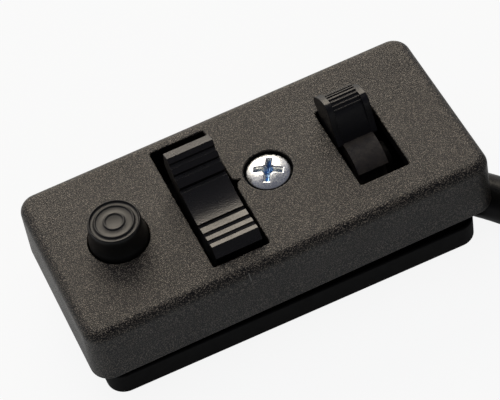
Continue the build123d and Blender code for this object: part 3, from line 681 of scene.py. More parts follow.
def prism(builder: MeshBuilder, outline: Sequence[Point2], x0: float, x1: float, end_slot: Slot = Slot.SKIN) -> None:
    """Add a prism that runs along X.

    Args:
        builder: Builder that gets the prism.
        outline: Outline in the Y-Z plane.
        x0: Lower end.
        x1: Upper end.
        end_slot: Material slot of the two ends.
    """
    ends = [builder.ring((x, y, z) for y, z in outline) for x in (x0, x1)]
    builder.bridge(*ends)
    for end in ends:
        builder.cap(end, end_slot)


def height_at(line: Sequence[Point2], x: float) -> float:
    """Height of a line that only runs to the right, at one place along it.

    Args:
        line: Points of the line.
        x: The place.

    Returns:
        The height there, or the last point's beyond the line.
    """
    for (x0, y0), (x1, y1) in zip(line, line[1:]):
        if x0 <= x <= x1:
            return y0 + (y1 - y0) * (x - x0) / (x1 - x0)
    return line[-1][1]


def box_outline(low: float, high: float, bottom: float, top: float) -> list[Point2]:
    """Rectangle in the Y-Z plane."""
    return [(low, bottom), (high, bottom), (high, top), (low, top)]


def middle_of(node: str) -> Vector:
    """Middle of a CAD node's box, in millimetres."""
    low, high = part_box(node)
    return (low + high) / 2 / MM


def pivot_of(joint: str) -> Vector:
    """Pivot of one of the frame's joints, in millimetres."""
    return Vector(next(entry for entry in frame["joints"] if entry["name"] == joint)["pos_m"]) / MM


def placed(x: float, y: float, z: float, lean: float = 0.0) -> Matrix:
    """Placement at a point in millimetres, turned by an angle in degrees about X."""
    return Matrix.Translation(Vector((x, y, z)) * MM) @ Matrix.Rotation(math.radians(lean), 4, "X")


# --- cover -----------------------------------------------------------------------------
@dataclass
class Cover:
    """Moulded cover: a drafted box with round corners, four openings, a screw boss and seat ribs.

    The small break beside the rocker slot has its first and last points measured from the slot's edge, and the
    points of its tip from where only nick_gap is left of the wall round the screw.
    """

    draft: float = 1.7
    corner: float = 3.3
    crown: float = 1.75
    wall: float = 2.0
    roof: float = 2.2
    slot_corner: float = 0.4
    edge: float = 0.22
    rim_edge: float = 0.2
    corner_steps: int = 12
    edge_steps: int = 4
    rim_steps: int = 3
    crown_steps: int = 12
    nick_gap: float = 0.55
    nick_start: tuple[Point2, ...] = ((0.0, -0.3), (0.22, 0.25), (0.5, 0.85))
    nick_tip: tuple[Point2, ...] = ((-0.1, 1.12), (0.0, 1.2), (-0.1, 1.27))
    nick_end: tuple[Point2, ...] = ((0.35, 1.45), (0.12, 1.8), (0.0, 2.0))
    recess_r: float = 4.0
    recess_depth: float = 1.8
    shank_r: float = 2.15
    boss_wall: float = 0.9
    boss_length: float = 3.9
    button_hole_r: float = 4.95
    rocker_slot: Point2 = (9.55, 25.9)
    rocker_centre: Point2 = (-7.25, 0.44)
    lever_slot: Point2 = (8.6, 17.0)
    lever_centre: Point2 = (19.0, -1.07)
    rib_stations: tuple[float, ...] = (-28.0, -15.5, 10.5, 26.5)
    rib_thickness: float = 1.2
    neck_half: float = 11.35
    neck_ends: Point2 = (-30.0, 31.6)
    neck_wall: float = 1.5
    neck_rise: float = 1.3
    neck_corner: float = 2.4
    overlap: float = 0.1
    seal_gap: float = 0.3
    seal_corner: float = 1.3
    seal_soft: float = 0.15
    seal_lift: float = 0.25

    def __post_init__(self) -> None:
        """Take the cover's outer size from the frame."""
        low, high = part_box("cover")
        self.length = (high.x - low.x) / MM
        self.width = (high.y - low.y) / MM
        self.rim = low.z / MM
        self.top = high.z / MM
        self.ceiling = self.top - self.roof

    def outline(self, inset: float) -> list[Point2]:
        """Cover's outline, moved in by an inset."""
        return rounded_rectangle(self.length - 2 * inset, self.width - 2 * inset, self.corner - inset,
                                 steps=self.corner_steps)

    def drafted(self, height: float) -> float:
        """Inset that the draft gives at a height above the rim."""
        return height * math.tan(math.radians(self.draft))

    def slot(self, size: Point2, centre: Point2) -> list[Point2]:
        """Outline of a rectangular slot."""
        return rounded_rectangle(size[0], size[1], self.slot_corner, steps=4, centre=centre)

    def nicked_slot(self) -> list[Point2]:
        """Rocker slot's outline with the small break in its edge, towards the screw.

        Returns:
            Points of the outline, counter-clockwise from the break.
        """
        edge = self.rocker_centre[0] + self.rocker_slot[0] / 2
        tip = middle_of("cover_screw").x - self.recess_r - self.nick_gap
        nick = [(base + x, y) for base, points in ((edge, self.nick_start), (tip, self.nick_tip), (edge, self.nick_end))
                for x, y in points]
        return nick + self.slot(self.rocker_slot, self.rocker_centre)

    def circle(self, radius: float, centre: Vector, segments: int = 72) -> list[Point2]:
        """Round outline about a centre."""
        return arc((centre.x, centre.y), radius, 0, 360, segments)[:-1]

    def lipped(self, builder: MeshBuilder, outline: Sequence[Point2], bottom: float) -> tuple[Ring, Ring]:
        """Wall of an opening with a rounded upper edge.

        Args:
            builder: Builder that gets the wall.
            outline: Opening's outline.
            bottom: Height of the wall's lower end.

        Returns:
            The wall's top ring and its bottom ring.
        """
        rings = []
        for step in range(self.edge_steps + 1):
            angle = math.radians(90 * step / self.edge_steps)
            rings.append(builder.level(offset(outline, self.edge * (1 - math.sin(angle))),
                                       self.top - self.edge * (1 - math.cos(angle))))
        rings.append(builder.level(outline, bottom))
        builder.bridge(*rings[:-1])
        builder.bridge(*rings[-2:], slot=Slot.CORE)
        return rings[0], rings[-1]

    def shell(self) -> bpy.types.Object:
        """Build the cover's shell.

        Returns:
            The shell.
        """
        builder = MeshBuilder()
        inner = [builder.level(self.outline(self.wall + self.drafted(height)), self.rim + height)
                 for height in (0.0, self.ceiling - self.rim)]
        outer = []
        for step in range(self.rim_steps + 1):
            angle = math.radians(90 * step / self.rim_steps)
            outer.append(builder.level(self.outline(self.rim_edge * (1 - math.sin(angle))),
                                       self.rim + self.rim_edge * (1 - math.cos(angle))))
        shoulder = self.top - self.crown - self.rim
        outer.append(builder.level(self.outline(self.drafted(shoulder)), self.rim + shoulder))
        for step in range(1, self.crown_steps + 1):
            angle = math.radians(90 * step / self.crown_steps)
            inset = self.drafted(shoulder) + self.crown * (1 - math.cos(angle))
            outer.append(builder.level(self.outline(inset), self.rim + shoulder + self.crown * math.sin(angle)))
        builder.bridge(inner[1], inner[0], slot=Slot.CORE)
        builder.bridge(inner[0], *outer)
        button = middle_of("horn_button")
        screw = middle_of("cover_screw")
        openings = (self.nicked_slot(), self.slot(self.lever_slot, self.lever_centre),
                    self.circle(self.button_hole_r, button))
        tops, bottoms = [], []
        for outline in openings:
            upper, lower = self.lipped(builder, outline, self.ceiling)
            tops.append(upper)
            bottoms.append(lower)
        upper, floor = self.lipped(builder, self.circle(self.recess_r, screw), self.top - self.recess_depth)
        boss_end = self.ceiling - self.boss_length
        bore = [builder.level(self.circle(self.shank_r, screw), height)
                for height in (self.top - self.recess_depth, boss_end)]
        boss = [builder.level(self.circle(self.recess_r + self.boss_wall, screw), height)
                for height in (boss_end, self.ceiling)]
        builder.bridge(floor, *bore, *boss, slot=Slot.CORE)
        builder.fill(outer[-1], *tops, upper)
        builder.fill(inner[1], *bottoms, boss[1])
        shell = builder.finish("cover_shell", Finish.COVER)
        shell.data.materials.append(Finish.COVER_CORE.material())
        return shell

    def ribs(self) -> bpy.types.Object:
        """Build the ribs that seat the cover on the base's neck.

        Returns:
            The ribs.
        """
        builder = MeshBuilder()
        low = self.rim + self.neck_rise
        inside = self.neck_half - self.neck_wall + self.seal_gap
        outside = self.width / 2 - self.wall + self.overlap
        for station in self.rib_stations:
            for side in (-1, 1):
                y0, y1 = sorted((side * inside, side * outside))
                prism(builder, box_outline(y0, y1, low, self.ceiling + self.overlap),
                      station - self.rib_thickness / 2, station + self.rib_thickness / 2)
        return builder.finish("cover_ribs", Finish.COVER_CORE)

    def seal(self) -> bpy.types.Object:
        """Build the foam seal that closes the gap between the base's neck and the cover's wall.

        Returns:
            The seal.
        """
        builder = MeshBuilder()
        x0, x1 = self.neck_ends
        neck = rounded_rectangle(x1 - x0 + self.overlap, 2 * self.neck_half + self.overlap, self.neck_corner,
                                 centre=((x0 + x1) / 2, 0.0))
        inset = self.wall + self.seal_gap
        wall = rounded_rectangle(self.length - 2 * inset, self.width - 2 * inset, self.seal_corner)
        low, high = self.rim + self.seal_lift, self.rim + self.neck_rise - self.overlap
        soft = self.seal_soft
        rings = [builder.level(wall, low), builder.level(wall, high - soft), builder.level(offset(wall, -soft), high),
                 builder.level(offset(neck, soft), high), builder.level(neck, high - soft), builder.level(neck, low)]
        builder.bridge(*rings, rings[0])
        return builder.finish("rim_seal", Finish.SEAL)

    def build(self) -> None:
        """Build the cover and its seal and put them on the housing."""
        shell = self.shell()
        weigh_normals(shell)
        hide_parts("cover")
        for piece, slot in ((shell, "cover_plastic"), (self.ribs(), "cover_plastic"), (self.seal(), "button_rubber")):
            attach(piece, "housing")
            LOG.info("built %s", piece.name)


# --- horn button -----------------------------------------------------------------------
@dataclass
class HornButton:
    """Rubber cap of the horn button: a flared skirt under a flat top with turned rings.

    Each ring is a radius and its depth below the crown.
    """

    rings: tuple[Point2, ...] = (
        (0.0, 0.2), (1.2, 0.2), (1.34, 0.17), (1.46, 0.07), (1.56, 0.04), (1.66, 0.08), (1.76, 0.19), (1.86, 0.22),
        (2.8, 0.22), (2.9, 0.19), (2.99, 0.1), (3.08, 0.06), (3.18, 0.1), (3.28, 0.24), (3.4, 0.3), (3.72, 0.3),
        (3.82, 0.26), (3.91, 0.1), (3.98, 0.01), (4.03, 0.0), (4.1, 0.05), (4.18, 0.17), (4.24, 0.34), (4.28, 0.58))
    flare: Point2 = (4.3, 0.85)
    flare_steps: int = 14
    flare_even: float = 0.16
    flare_power: float = 3.2
    skirt_rise: float = 0.6
    skirt_r: float = 4.72
    flange_width: float = 1.3
    flange_height: float = 1.2
    socket_r: float = 3.0
    travel: float = 2.02
    segments: int = 96

    def __post_init__(self) -> None:
        """Take the button's place and height from the frame."""
        low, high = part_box("horn_button")
        self.place = middle_of("horn_button")
        self.flange_low = low.z / MM
        self.crown = high.z / MM
        self.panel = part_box("cover")[1].z / MM
        self.socket_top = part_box("horn_plunger")[1].z / MM

    def profile(self) -> list[Point2]:
        """Half section of the cap, from the top's centre out, down and back under it.

        Returns:
            Points of (radius, height).
        """
        rings = [(radius, self.crown - depth) for radius, depth in self.rings]
        start_r, start_z = self.flare[0], self.crown - self.flare[1]
        low = self.panel + self.skirt_rise
        skirt = [(start_r, start_z)]
        for step in range(1, self.flare_steps + 1):
            share = step / self.flare_steps
            eased = self.flare_even * share + (1 - self.flare_even) * share ** self.flare_power
            skirt.append((start_r + (self.skirt_r - start_r) * eased, start_z + (low - start_z) * share))
        flange_r = self.skirt_r + self.flange_width
        flange_top = self.flange_low + self.flange_height
        under = [
            (self.skirt_r, flange_top), (flange_r, flange_top), (flange_r, self.flange_low),
            (self.socket_r, self.flange_low), (self.socket_r, self.socket_top), (0.0, self.socket_top),
        ]
        return rings + skirt + under

    def build(self) -> None:
        """Build the cap and put it on the button's body."""
        cap = revolved(self.profile(), self.segments).finish(
            "button_cap", Finish.BUTTON, sharp=60.0, transform=placed(self.place.x, self.place.y, 0.0))
        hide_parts("horn_button")
        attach(cap, "button")
        LOG.info("built %s", cap.name)
        self.spring()

    def spring(self) -> None:
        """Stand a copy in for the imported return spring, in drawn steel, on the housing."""
        wire = bpy.data.objects["horn_spring"].data.copy()
        wire.materials.clear()
        wire.materials.append(Finish.STEEL.material())
        coil = bpy.data.objects.new("return_spring", wire)
        bpy.context.scene.collection.objects.link(coil)
        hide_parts("horn_spring")
        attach(coil, "housing")
        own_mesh(coil)
        LOG.info("built %s", coil.name)


# --- cover screw -----------------------------------------------------------------------
@dataclass
class CoverScrew:
    """Zinc-plated pan head screw with a cross recess."""

    head_r: float = 3.55
    head_edge: float = 1.35
    head_height: float = 2.1
    seat_depth: float = 2.4
    shank_r: float = 1.95
    tip: float = 0.5
    turn: float = -30.0
    wing_reach: float = 2.43
    wing_half: float = 0.56
    wing_draft: float = 0.26
    recess_depth: float = 1.7
    wing_slope: float = 0.22
    core_r: float = 1.05
    lip: float = 0.14
    foot: float = 0.1
    dome_power: Point2 = (2.2, 0.8)
    segments: int = 240
    rings: int = 64

    def __post_init__(self) -> None:
        """Take the screw's place from the frame."""
        low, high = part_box("cover_screw")
        self.place = middle_of("cover_screw")
        self.bottom = low.z / MM
        self.seat = high.z / MM - self.seat_depth

    def dome(self, radius: float) -> float:
        """Height of the head's plain dome.

        Args:
            radius: Distance from the head's middle.

        Returns:
            The height there.
        """
        share = min(radius / self.head_r, 1.0)
        rise = self.head_height - self.head_edge
        return self.seat + self.head_edge + rise * (1 - share ** self.dome_power[0]) ** self.dome_power[1]

    def sunk(self, x: float, y: float) -> float:
        """How far the cross recess sinks the head's surface.

        Args:
            x: Place along one wing.
            y: Place along the other wing.

        Returns:
            The depth there, 0 outside the recess.
        """
        along, across = max(abs(x), abs(y)), min(abs(x), abs(y))
        inside = min(self.wing_reach - along, self.wing_half - across)
        inside = max(inside, self.core_r - math.hypot(x, y))
        wall = (inside + self.lip) / self.wing_draft
        ease = min(max(inside / self.lip + 1, 0.0), 2.0)
        start = self.lip * ease * ease / 4
        depth = start if inside < self.lip else start + (wall - 2 * self.lip / self.wing_draft)
        return min(max(depth, 0.0), self.recess_depth * (1 - self.wing_slope * along / self.wing_reach))

    def build(self) -> None:
        """Build the screw and put it on the housing."""
        builder = MeshBuilder()
        turn = math.radians(self.turn)
        rings = []
        for ring in range(self.rings + 1):
            radius = self.head_r * ring / self.rings
            points = []
            for index in range(self.segments):
                angle = 2 * math.pi * index / self.segments
                x, y = radius * math.cos(angle), radius * math.sin(angle)
                own_x = x * math.cos(turn) + y * math.sin(turn)
                own_y = y * math.cos(turn) - x * math.sin(turn)
                points.append((x, y, self.dome(radius) - self.sunk(own_x, own_y)))
            rings.append(builder.ring(points[:1] if ring == 0 else points))
        below = [(self.head_r, self.seat + self.foot), (self.head_r - self.foot, self.seat),
                 (self.shank_r, self.seat), (self.shank_r, self.bottom + self.tip),
                 (self.shank_r - self.tip, self.bottom)]
        for radius, height in below:
            rings.append(builder.level(arc((0, 0), radius, 0, 360, self.segments)[:-1], height))
        for index in range(self.segments):
            builder.mesh.faces.new((rings[0][0], rings[1][index], rings[1][(index + 1) % self.segments]))
        builder.bridge(*rings[1:])
        builder.cap(rings[-1])
        screw = builder.finish("pan_head_screw", Finish.ZINC, sharp=60.0,
                               transform=placed(self.place.x, self.place.y, 0.0))
        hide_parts("cover_screw")
        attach(screw, "housing")
        LOG.info("built %s", screw.name)


# --- dip rocker ------------------------------------------------------------------------
@dataclass
class DipRocker:
    """Dip rocker: a saddle between two grooved lobes, on a hub that turns about a pin."""

    tilt: float = 16.0
    width: float = 7.9
    saddle_r: float = 9.3
    saddle_low: float = 8.1
    lobe_start: float = 3.37
    lip: Point2 = (8.28, 11.16)
    nose: tuple[Point2, Point2, Point2] = ((9.85, 9.95), (9.75, 8.3), (9.6, 6.4))
    armpit: Point2 = (5.6, 4.1)
    hub_r: float = 3.4
    toe_r: float = 5.6
    toe_angle: float = 25.0
    grooves: tuple[Point2, ...] = ((3.37, 8.05), (5.4, 9.25), (7.07, 10.15))
    groove_width: float = 0.75
    groove_soft: float = 0.1
    saddle_steps: int = 16
    toe_steps: int = 10
    edge: float = 0.16

    def __post_init__(self) -> None:
        """Take the pivot's place from the frame."""
        self.pivot = pivot_of("rocker_tilt")
        self.saddle_centre = self.saddle_low + self.saddle_r

    def crown(self) -> list[Point2]:
        """Upper edge of the right half, from the saddle's middle to the lip, with its grooves.

        Returns:
            Points of the edge.
        """
        angle = math.degrees(math.asin(self.lobe_start / self.saddle_r))
        saddle = arc((0.0, self.saddle_centre), self.saddle_r, -90, -90 + angle, self.saddle_steps)
        smooth = saddle + [self.lip]
        points = []
        reached = -1.0
        soft = self.groove_soft
        for place, floor in self.grooves:
            left, right = place - self.groove_width / 2, place + self.groove_width / 2
            points += [point for point in smooth if reached < point[0] < left - soft / 2]
            points += [(left, height_at(smooth, left)), (left, floor + soft), (left + soft, floor),
                       (right - soft, floor), (right, floor + soft), (right, height_at(smooth, right))]
            reached = right + soft / 2
        return points + [point for point in smooth if point[0] > reached]

    def half(self) -> list[Point2]:
        """Right half of the side outline, from the saddle's middle to the toe's middle."""
        toe = arc((0.0, 0.0), self.toe_r, -90 + self.toe_angle, -90, self.toe_steps)
        return self.crown() + [*self.nose, self.armpit, (self.hub_r, 0.0)] + toe

    def outline(self) -> list[Point2]:
        """Whole side outline, clockwise from the saddle's middle."""
        right = self.half()
        return right + [(-u, w) for u, w in reversed(right[1:-1])]

    def build(self) -> None:
        """Build the rocker and put it on its body."""
        builder = MeshBuilder()
        prism(builder, self.outline(), -self.width / 2, self.width / 2, end_slot=Slot.CORE)
        rocker = builder.finish("rocker_key", Finish.ROCKER, sharp=30.0,
                                transform=placed(self.pivot.x, self.pivot.y, self.pivot.z, self.tilt))
        rocker.data.materials.append(Finish.COVER_CORE.material())
        round_edges(rocker, self.edge)
        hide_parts("dip_rocker")
        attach(rocker, "rocker")
        LOG.info("built %s", rocker.name)


# --- light lever -----------------------------------------------------------------------
@dataclass
class LightLever:
    """Light lever: a ribbed finger roll between two cheeks, on a drum that closes its slot."""

    lean: float = -31.0
    width: float = 7.1
    cheek: float = 1.1
    cheek_side: tuple[Point2, ...] = ((2.35, 5.2), (2.55, 7.6), (3.25, 10.9), (2.75, 12.25))
    cheek_top: float = 12.8
    cheek_rises: Point2 = (0.7, 0.0)
    web_root: Point2 = (2.2, 5.2)
    roll_r: float = 2.75
    roll_height: float = 10.5
    rib_r: float = 0.2
    rib_count: int = 11
    rib_spread: float = 146.0
    rib_arc: float = 80.0
    roll_start: float = -8.0
    curve_steps: int = 8
    crown_steps: int = 16
    stem_steps: int = 4
    rib_steps: int = 6
    drum_steps: int = 40
    toe_steps: int = 12
    drum_r: float = 5.9
    drum_width: float = 5.3
    drum_cut: float = 0.9
    hub_r: float = 3.2
    toe_r: float = 5.4
    toe_angle: float = 34.0
    edge: float = 0.28

    def __post_init__(self) -> None:
        """Take the pivot's place from the frame."""
        self.pivot = pivot_of("lever_swing")

    def cheek_outline(self, rise: float) -> list[Point2]:
        """Side outline of one cheek: smooth sides through their points, and a round top.

        Args:
            rise: How much higher the cheek's top stands.

        Returns:
            Points of the outline.
        """
        side = (*self.cheek_side[:2], *((u, w + rise) for u, w in self.cheek_side[2:]))
        knots = [Vector(point) for point in side]
        right = []
        for index in range(len(knots) - 1):
            before = knots[max(index - 1, 0)]
            after = knots[min(index + 2, len(knots) - 1)]
            start, end = knots[index], knots[index + 1]
            slope_in, slope_out = (end - before) / 2, (after - start) / 2
            for step in range(self.curve_steps):
                t = step / self.curve_steps
                point = (start * (2 * t**3 - 3 * t**2 + 1) + slope_in * (t**3 - 2 * t**2 + t)
                         + end * (3 * t**2 - 2 * t**3) + slope_out * (t**3 - t**2))
                right.append((point.x, point.y))
        corner = side[-1]
        crown = arc_through(corner, (0.0, self.cheek_top + rise), (-corner[0], corner[1]), self.crown_steps)
        return right + crown + [(-u, w) for u, w in reversed(right)]

    def roll_outline(self) -> list[Point2]:
        """Side outline of the ribbed finger roll and its stem.

        Returns:
            Points of the outline.
        """
        middle = (0.0, self.roll_height)
        per_rib = self.rib_spread / (self.rib_count - 1)
        first = 90 - self.rib_spread / 2
        foot = math.degrees(self.rib_r / self.roll_r)
        points = [self.web_root, *arc(middle, self.roll_r, self.roll_start, first - per_rib / 2, self.stem_steps)]
        for index in range(self.rib_count):
            place = first + index * per_rib
            base = arc(middle, self.roll_r, place - foot, place + foot, 1)
            centre = arc(middle, self.roll_r, place, place, 1)[0]
            crown = arc(centre, self.rib_r, place - self.rib_arc, place + self.rib_arc, self.rib_steps)
            points += [base[0], *crown, base[1]]
        last = 90 + self.rib_spread / 2 + per_rib / 2
        points += arc(middle, self.roll_r, last, 180 - self.roll_start, self.stem_steps)
        return points + [(-self.web_root[0], self.web_root[1])]

    def drum_outline(self) -> list[Point2]:
        """Side outline of the drum, from one end of its flat to the other."""
        dip = math.degrees(math.asin(self.drum_cut / self.drum_r))
        return arc((0.0, 0.0), self.drum_r, dip, 180 - dip, self.drum_steps)

    def toe_outline(self) -> list[Point2]:
        """Side outline of the hub and the toe that carries the wiper."""
        toe = arc((0.0, 0.0), self.toe_r, -90 - self.toe_angle, -90 + self.toe_angle, self.toe_steps)
        return toe + arc((0.0, 0.0), self.hub_r, 0, 180, self.toe_steps)

    def build(self) -> None:
        """Build the lever's parts and put them on its body."""
        place = placed(self.pivot.x, self.pivot.y, self.pivot.z, self.lean)
        half, inner = self.width / 2, self.width / 2 - self.cheek
        cheeks = MeshBuilder()
        for (x0, x1), rise in zip(((-half, -inner), (inner, half)), self.cheek_rises):
            prism(cheeks, self.cheek_outline(rise), x0, x1)
        roll = MeshBuilder()
        prism(roll, self.roll_outline(), -inner, inner)
        drum = MeshBuilder()
        prism(drum, self.drum_outline(), -self.drum_width / 2, self.drum_width / 2)
        prism(drum, self.toe_outline(), -self.drum_width / 2, self.drum_width / 2)
        pieces = [cheeks.finish("lever_cheeks", Finish.LEVER, transform=place),
                  roll.finish("lever_roll", Finish.LEVER, sharp=50.0, transform=place),
                  drum.finish("lever_drum", Finish.LEVER_TOE, transform=place)]
        round_edges(pieces[0], self.edge)
        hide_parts("light_lever")
        for piece in pieces:
            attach(piece, "lever")
            LOG.info("built %s", piece.name)


# --- cable -----------------------------------------------------------------------------
@dataclass
class Cable:
    """Sleeved cable: out of the base's end wall, along the floor, round a coil and into the connector."""

    diameter: float = 7.5
    floor_axis: float = 3.8
    coil_centre: Point2 = (91.6, -15.2)
    coil_r: float = 42.0
    pitch: float = 8.0
    turns: float = 1.125
    start: float = 219.0
    step: float = 15.0
    tail_r: float = 25.6
    tail_step: float = 26.0
    tail_steps: int = 6
    tail_run: float = 8.0
    connector_axis: float = 4.0
    length_m: float = 0.39
    smoothness: int = 8
    lead: tuple[Point3, ...] = ((30.9, -5.98, 4.0), (36.6, -11.2, 3.9), (42.6, -21.0, 3.8), (50.6, -32.6, 3.8))

    def coil_point(self, angle: float, radius: float) -> Point3:
        """Point on the coil's centreline.

        Args:
            angle: Angle round the coil in degrees.
            radius: Distance from the coil's middle.

        Returns:
            The point, in millimetres.
        """
        turn = math.radians(angle)
        return (self.coil_centre[0] + radius * math.cos(turn), self.coil_centre[1] + radius * math.sin(turn),
                self.floor_axis)

    def route(self) -> list[Point3]:
        """Lay the cable's route: the lead, the coil's turns and the tail.

        Returns:
            Points of the route, in millimetres.
        """
        points = list(self.lead)
        end = self.start + 360 * self.turns
        angle = self.start
        while angle < end - self.step / 2:
            wound = (angle - self.start) / 360
            points.append(self.coil_point(angle, self.coil_r - self.pitch * wound))
            angle += self.step
        inner_r = self.coil_r - self.pitch * self.turns
        centre = self.coil_point(end, inner_r - self.tail_r)
        for index in range(self.tail_steps):
            turn = math.radians(end + index * self.tail_step)
            points.append((centre[0] + self.tail_r * math.cos(turn), centre[1] + self.tail_r * math.sin(turn),
                           self.floor_axis))
        turn = math.radians(end + self.tail_steps * self.tail_step)
        last = (centre[0] + self.tail_r * math.cos(turn), centre[1] + self.tail_r * math.sin(turn),
                self.connector_axis)
        heading = math.radians(end + (self.tail_steps + 0.5) * self.tail_step + 90)
        points.append(last)
        points.append((last[0] + self.tail_run * math.cos(heading), last[1] + self.tail_run * math.sin(heading),
                       last[2]))
        return points

    def build(self) -> None:
        curve = bpy.data.curves.new("cable_line", "CURVE")
        curve.dimensions = "3D"
        curve.bevel_depth = self.diameter / 2 * MM
        curve.bevel_resolution = self.smoothness
        curve.resolution_u = self.smoothness
        curve.use_fill_caps = True
        spline = curve.splines.new("NURBS")
        points = self.route()
        spline.points.add(len(points) - 1)
        for knot, (x, y, z) in zip(spline.points, points):
            knot.co = (x * MM, y * MM, z * MM, 1.0)
        spline.order_u = 3
        spline.use_endpoint_u = True
        curve.materials.append(Finish.SLEEVE.material())
        sleeve = bpy.data.objects.new("cable_line", curve)
        bpy.context.scene.collection.objects.link(sleeve)
        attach(sleeve, "housing")
        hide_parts("cable_sleeve", "sleeve_coil", "sleeve_tail")
        LOG.info("built %s", sleeve.name)


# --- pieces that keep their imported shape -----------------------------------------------
DRESSED: dict[Finish, tuple[str, ...]] = {
    Finish.BASE: ("base", "cable_nipple"),
    Finish.NATURAL: ("horn_plunger", "connector_housing"),
    Finish.BOOT: ("connector_boot",),
    Finish.PIN: ("rocker_pin", "lever_pin"),
    Finish.WIRE: ("inner_wires",),
    Finish.BRASS: (
        "screw_insert", "horn_contact_disc", "horn_terminal_near", "horn_terminal_far", "rocker_wiper",
        "rocker_terminal_near", "rocker_terminal_centre", "rocker_terminal_far", "lever_wiper",
        "lever_terminal_near", "lever_terminal_centre", "lever_terminal_far", "connector_sockets",
    ),
}


def dress_packed_nodes() -> None:
    """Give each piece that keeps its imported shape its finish."""
    for finish, names in DRESSED.items():
        for name in names:
            slots = frame["nodes"][name].data.materials
            slots.clear()
            slots.append(finish.material())
        LOG.info("dressed %s with %s", ", ".join(names), finish.value.name)


# --- studio ----------------------------------------------------------------------------
@dataclass(frozen=True)
class SoftLight:
    """Square soft light that faces the switch, its place and size in millimetres and its power in watts."""

    name: str
    place: Point3
    size: float
    power: float
    colour: str = WHITE
    mirrored: bool = True

    def build(self, aim: Point3) -> None:
        """Hang the light.

        Args:
            aim: Point that the light faces, in millimetres.
        """
        data = bpy.data.lights.new(self.name, "AREA")
        data.shape = "SQUARE"
        data.size = self.size * MM
        data.energy = self.power
        data.color = linear(self.colour)[:3]
        made = bpy.data.objects.new(self.name, data)
        made.visible_glossy = self.mirrored
        made.location = Vector(self.place) * MM
        made.rotation_euler = (Vector(aim) - Vector(self.place)).to_track_quat("-Z", "Y").to_euler()
        bpy.context.scene.collection.objects.link(made)


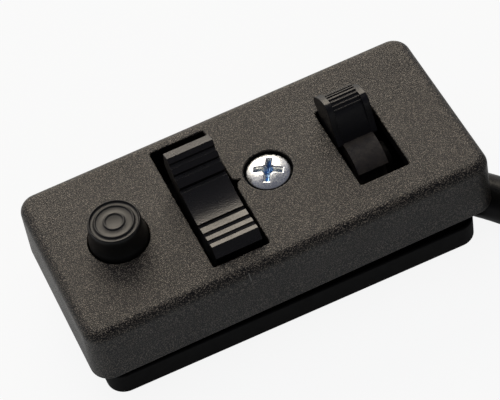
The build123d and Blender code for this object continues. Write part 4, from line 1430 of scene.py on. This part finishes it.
@dataclass
class Studio:
    """Plain pale floor, soft light and the camera.

    Glossy surfaces mirror a backdrop that is white behind the switch and darker in front of and above it, so
    the black plastics keep their depth. Only the key light shows in them.
    """

    aim: Point3 = (-1.33, -2.03, 17.16)
    heading: float = 15.54
    elevation: float = 51.66
    roll: float = -11.54
    distance: float = 335.0
    lens: float = 152.68
    sensor: float = 36.0
    clip_m: Point2 = (0.01, 20.0)
    floor_half: float = 900.0
    floor_z: float = -0.05
    floor_colour: str = "c0c3c6"
    floor_seen: float = 0.9
    floor_glow: float = 0.2
    room_light: float = 0.08
    front_glow: float = 0.13
    top_glow: float = 0.2
    front_band: Point2 = (-0.8, 0.1)
    back_band: Point2 = (0.3, 0.85)
    cool: str = "e4e6fa"
    warm: str = "fff3e4"
    light_aim: Point3 = (0.0, 0.0, 10.0)
    lights: tuple[SoftLight, ...] = (
        SoftLight("key", (120.0, 620.0, 450.0), 480.0, 4.0, "fff3df"),
        SoftLight("overhead", (-80.0, 60.0, 700.0), 600.0, 3.0, mirrored=False))

    def camera(self) -> None:
        """Place the camera."""
        turn, rise, roll = (math.radians(angle) for angle in (self.heading, self.elevation, self.roll))
        forward = Vector((math.sin(turn) * math.cos(rise), math.cos(turn) * math.cos(rise), -math.sin(rise)))
        level = forward.cross(Vector((0, 0, 1))).normalized()
        upright = level.cross(forward)
        right = level * math.cos(roll) + upright * math.sin(roll)
        up = right.cross(forward)
        data = bpy.data.cameras.new("camera")
        data.lens = self.lens
        data.sensor_width = self.sensor
        data.clip_start, data.clip_end = self.clip_m
        made = bpy.data.objects.new("camera", data)
        turned = Matrix((right, up, -forward)).transposed().to_4x4()
        made.matrix_world = Matrix.Translation((Vector(self.aim) - forward * self.distance) * MM) @ turned
        bpy.context.scene.collection.objects.link(made)
        bpy.context.scene.camera = made

    def floor(self) -> None:
        """Lay the floor: nearly white to the eye, and pale matte to the light, so that it keeps the shadow."""
        builder = MeshBuilder()
        half = self.floor_half
        builder.cap(builder.level([(-half, -half), (half, -half), (half, half), (-half, half)], self.floor_z))
        made = builder.finish("floor", Finish.BASE)
        material, tree, _ = new_material("white_table")
        matte = add_node(tree, "ShaderNodeBsdfDiffuse", {"Color": linear(self.floor_colour)})
        glow = add_node(tree, "ShaderNodeEmission", {"Color": linear(WHITE), "Strength": 1.0})
        path = add_node(tree, "ShaderNodeLightPath")
        straight = add_node(tree, "ShaderNodeMath", {0: path.outputs["Is Camera Ray"],
                                                     1: path.outputs["Is Transmission Ray"]}, operation="MAXIMUM")
        mirrored = add_node(tree, "ShaderNodeMath", {0: path.outputs["Is Glossy Ray"], 1: self.floor_glow},
                            operation="MULTIPLY")
        share = add_node(tree, "ShaderNodeMath", {0: straight, 1: self.floor_seen, 2: mirrored},
                         operation="MULTIPLY_ADD")
        mixed = add_node(tree, "ShaderNodeMixShader", {0: share, 1: matte, 2: glow})
        add_node(tree, "ShaderNodeOutputMaterial", {"Surface": mixed})
        made.data.materials.clear()
        made.data.materials.append(material)

    def world(self) -> None:
        """Light the room evenly, with white behind the switch for the eye and for reflections."""
        world = bpy.data.worlds.new("studio")
        world.use_nodes = True
        bpy.context.scene.world = world
        tree = world.node_tree
        tree.nodes.clear()
        path = add_node(tree, "ShaderNodeLightPath")
        way = add_node(tree, "ShaderNodeSeparateXYZ", {0: add_node(tree, "ShaderNodeTexCoord").outputs["Generated"]})
        front = add_node(tree, "ShaderNodeMapRange",
                         {"Value": way.outputs["Y"], "From Min": self.front_band[0], "From Max": self.front_band[1],
                          "To Min": self.front_glow, "To Max": self.top_glow})
        back = add_node(tree, "ShaderNodeMapRange",
                        {"Value": way.outputs["Y"], "From Min": self.back_band[0], "From Max": self.back_band[1],
                         "To Min": 0.0, "To Max": 1.0 - self.top_glow})
        backdrop = add_node(tree, "ShaderNodeMath", {0: front, 1: back}, operation="ADD")
        tint = add_node(tree, "ShaderNodeMix", {"Factor": back, 6: linear(self.cool), 7: linear(self.warm)},
                        data_type="RGBA")
        room = add_node(tree, "ShaderNodeBackground", {"Color": linear(WHITE), "Strength": self.room_light})
        mirrored = add_node(tree, "ShaderNodeBackground", {"Color": tint.outputs[2], "Strength": backdrop})
        white = add_node(tree, "ShaderNodeBackground", {"Color": linear(WHITE), "Strength": 1.0})
        shiny = add_node(tree, "ShaderNodeMixShader", {0: path.outputs["Is Glossy Ray"], 1: room, 2: mirrored})
        direct = add_node(tree, "ShaderNodeMath", {0: path.outputs["Is Camera Ray"],
                                                   1: path.outputs["Is Transmission Ray"]}, operation="MAXIMUM")
        mixed = add_node(tree, "ShaderNodeMixShader", {0: direct, 1: shiny, 2: white})
        add_node(tree, "ShaderNodeOutputWorld", {"Surface": mixed})

    def build(self) -> None:
        """Set up the studio."""
        self.camera()
        self.floor()
        self.world()
        for light in self.lights:
            light.build(self.light_aim)
        bpy.context.scene.view_settings.view_transform = "Standard"


def main() -> None:
    """Build every piece in order."""
    logging.basicConfig(level=logging.INFO, format="%(name)s: %(message)s")
    Studio().build()
    Cable().build()
    Cover().build()
    HornButton().build()
    CoverScrew().build()
    DipRocker().build()
    LightLever().build()
    dress_packed_nodes()


if __name__ == "__main__":
    main()
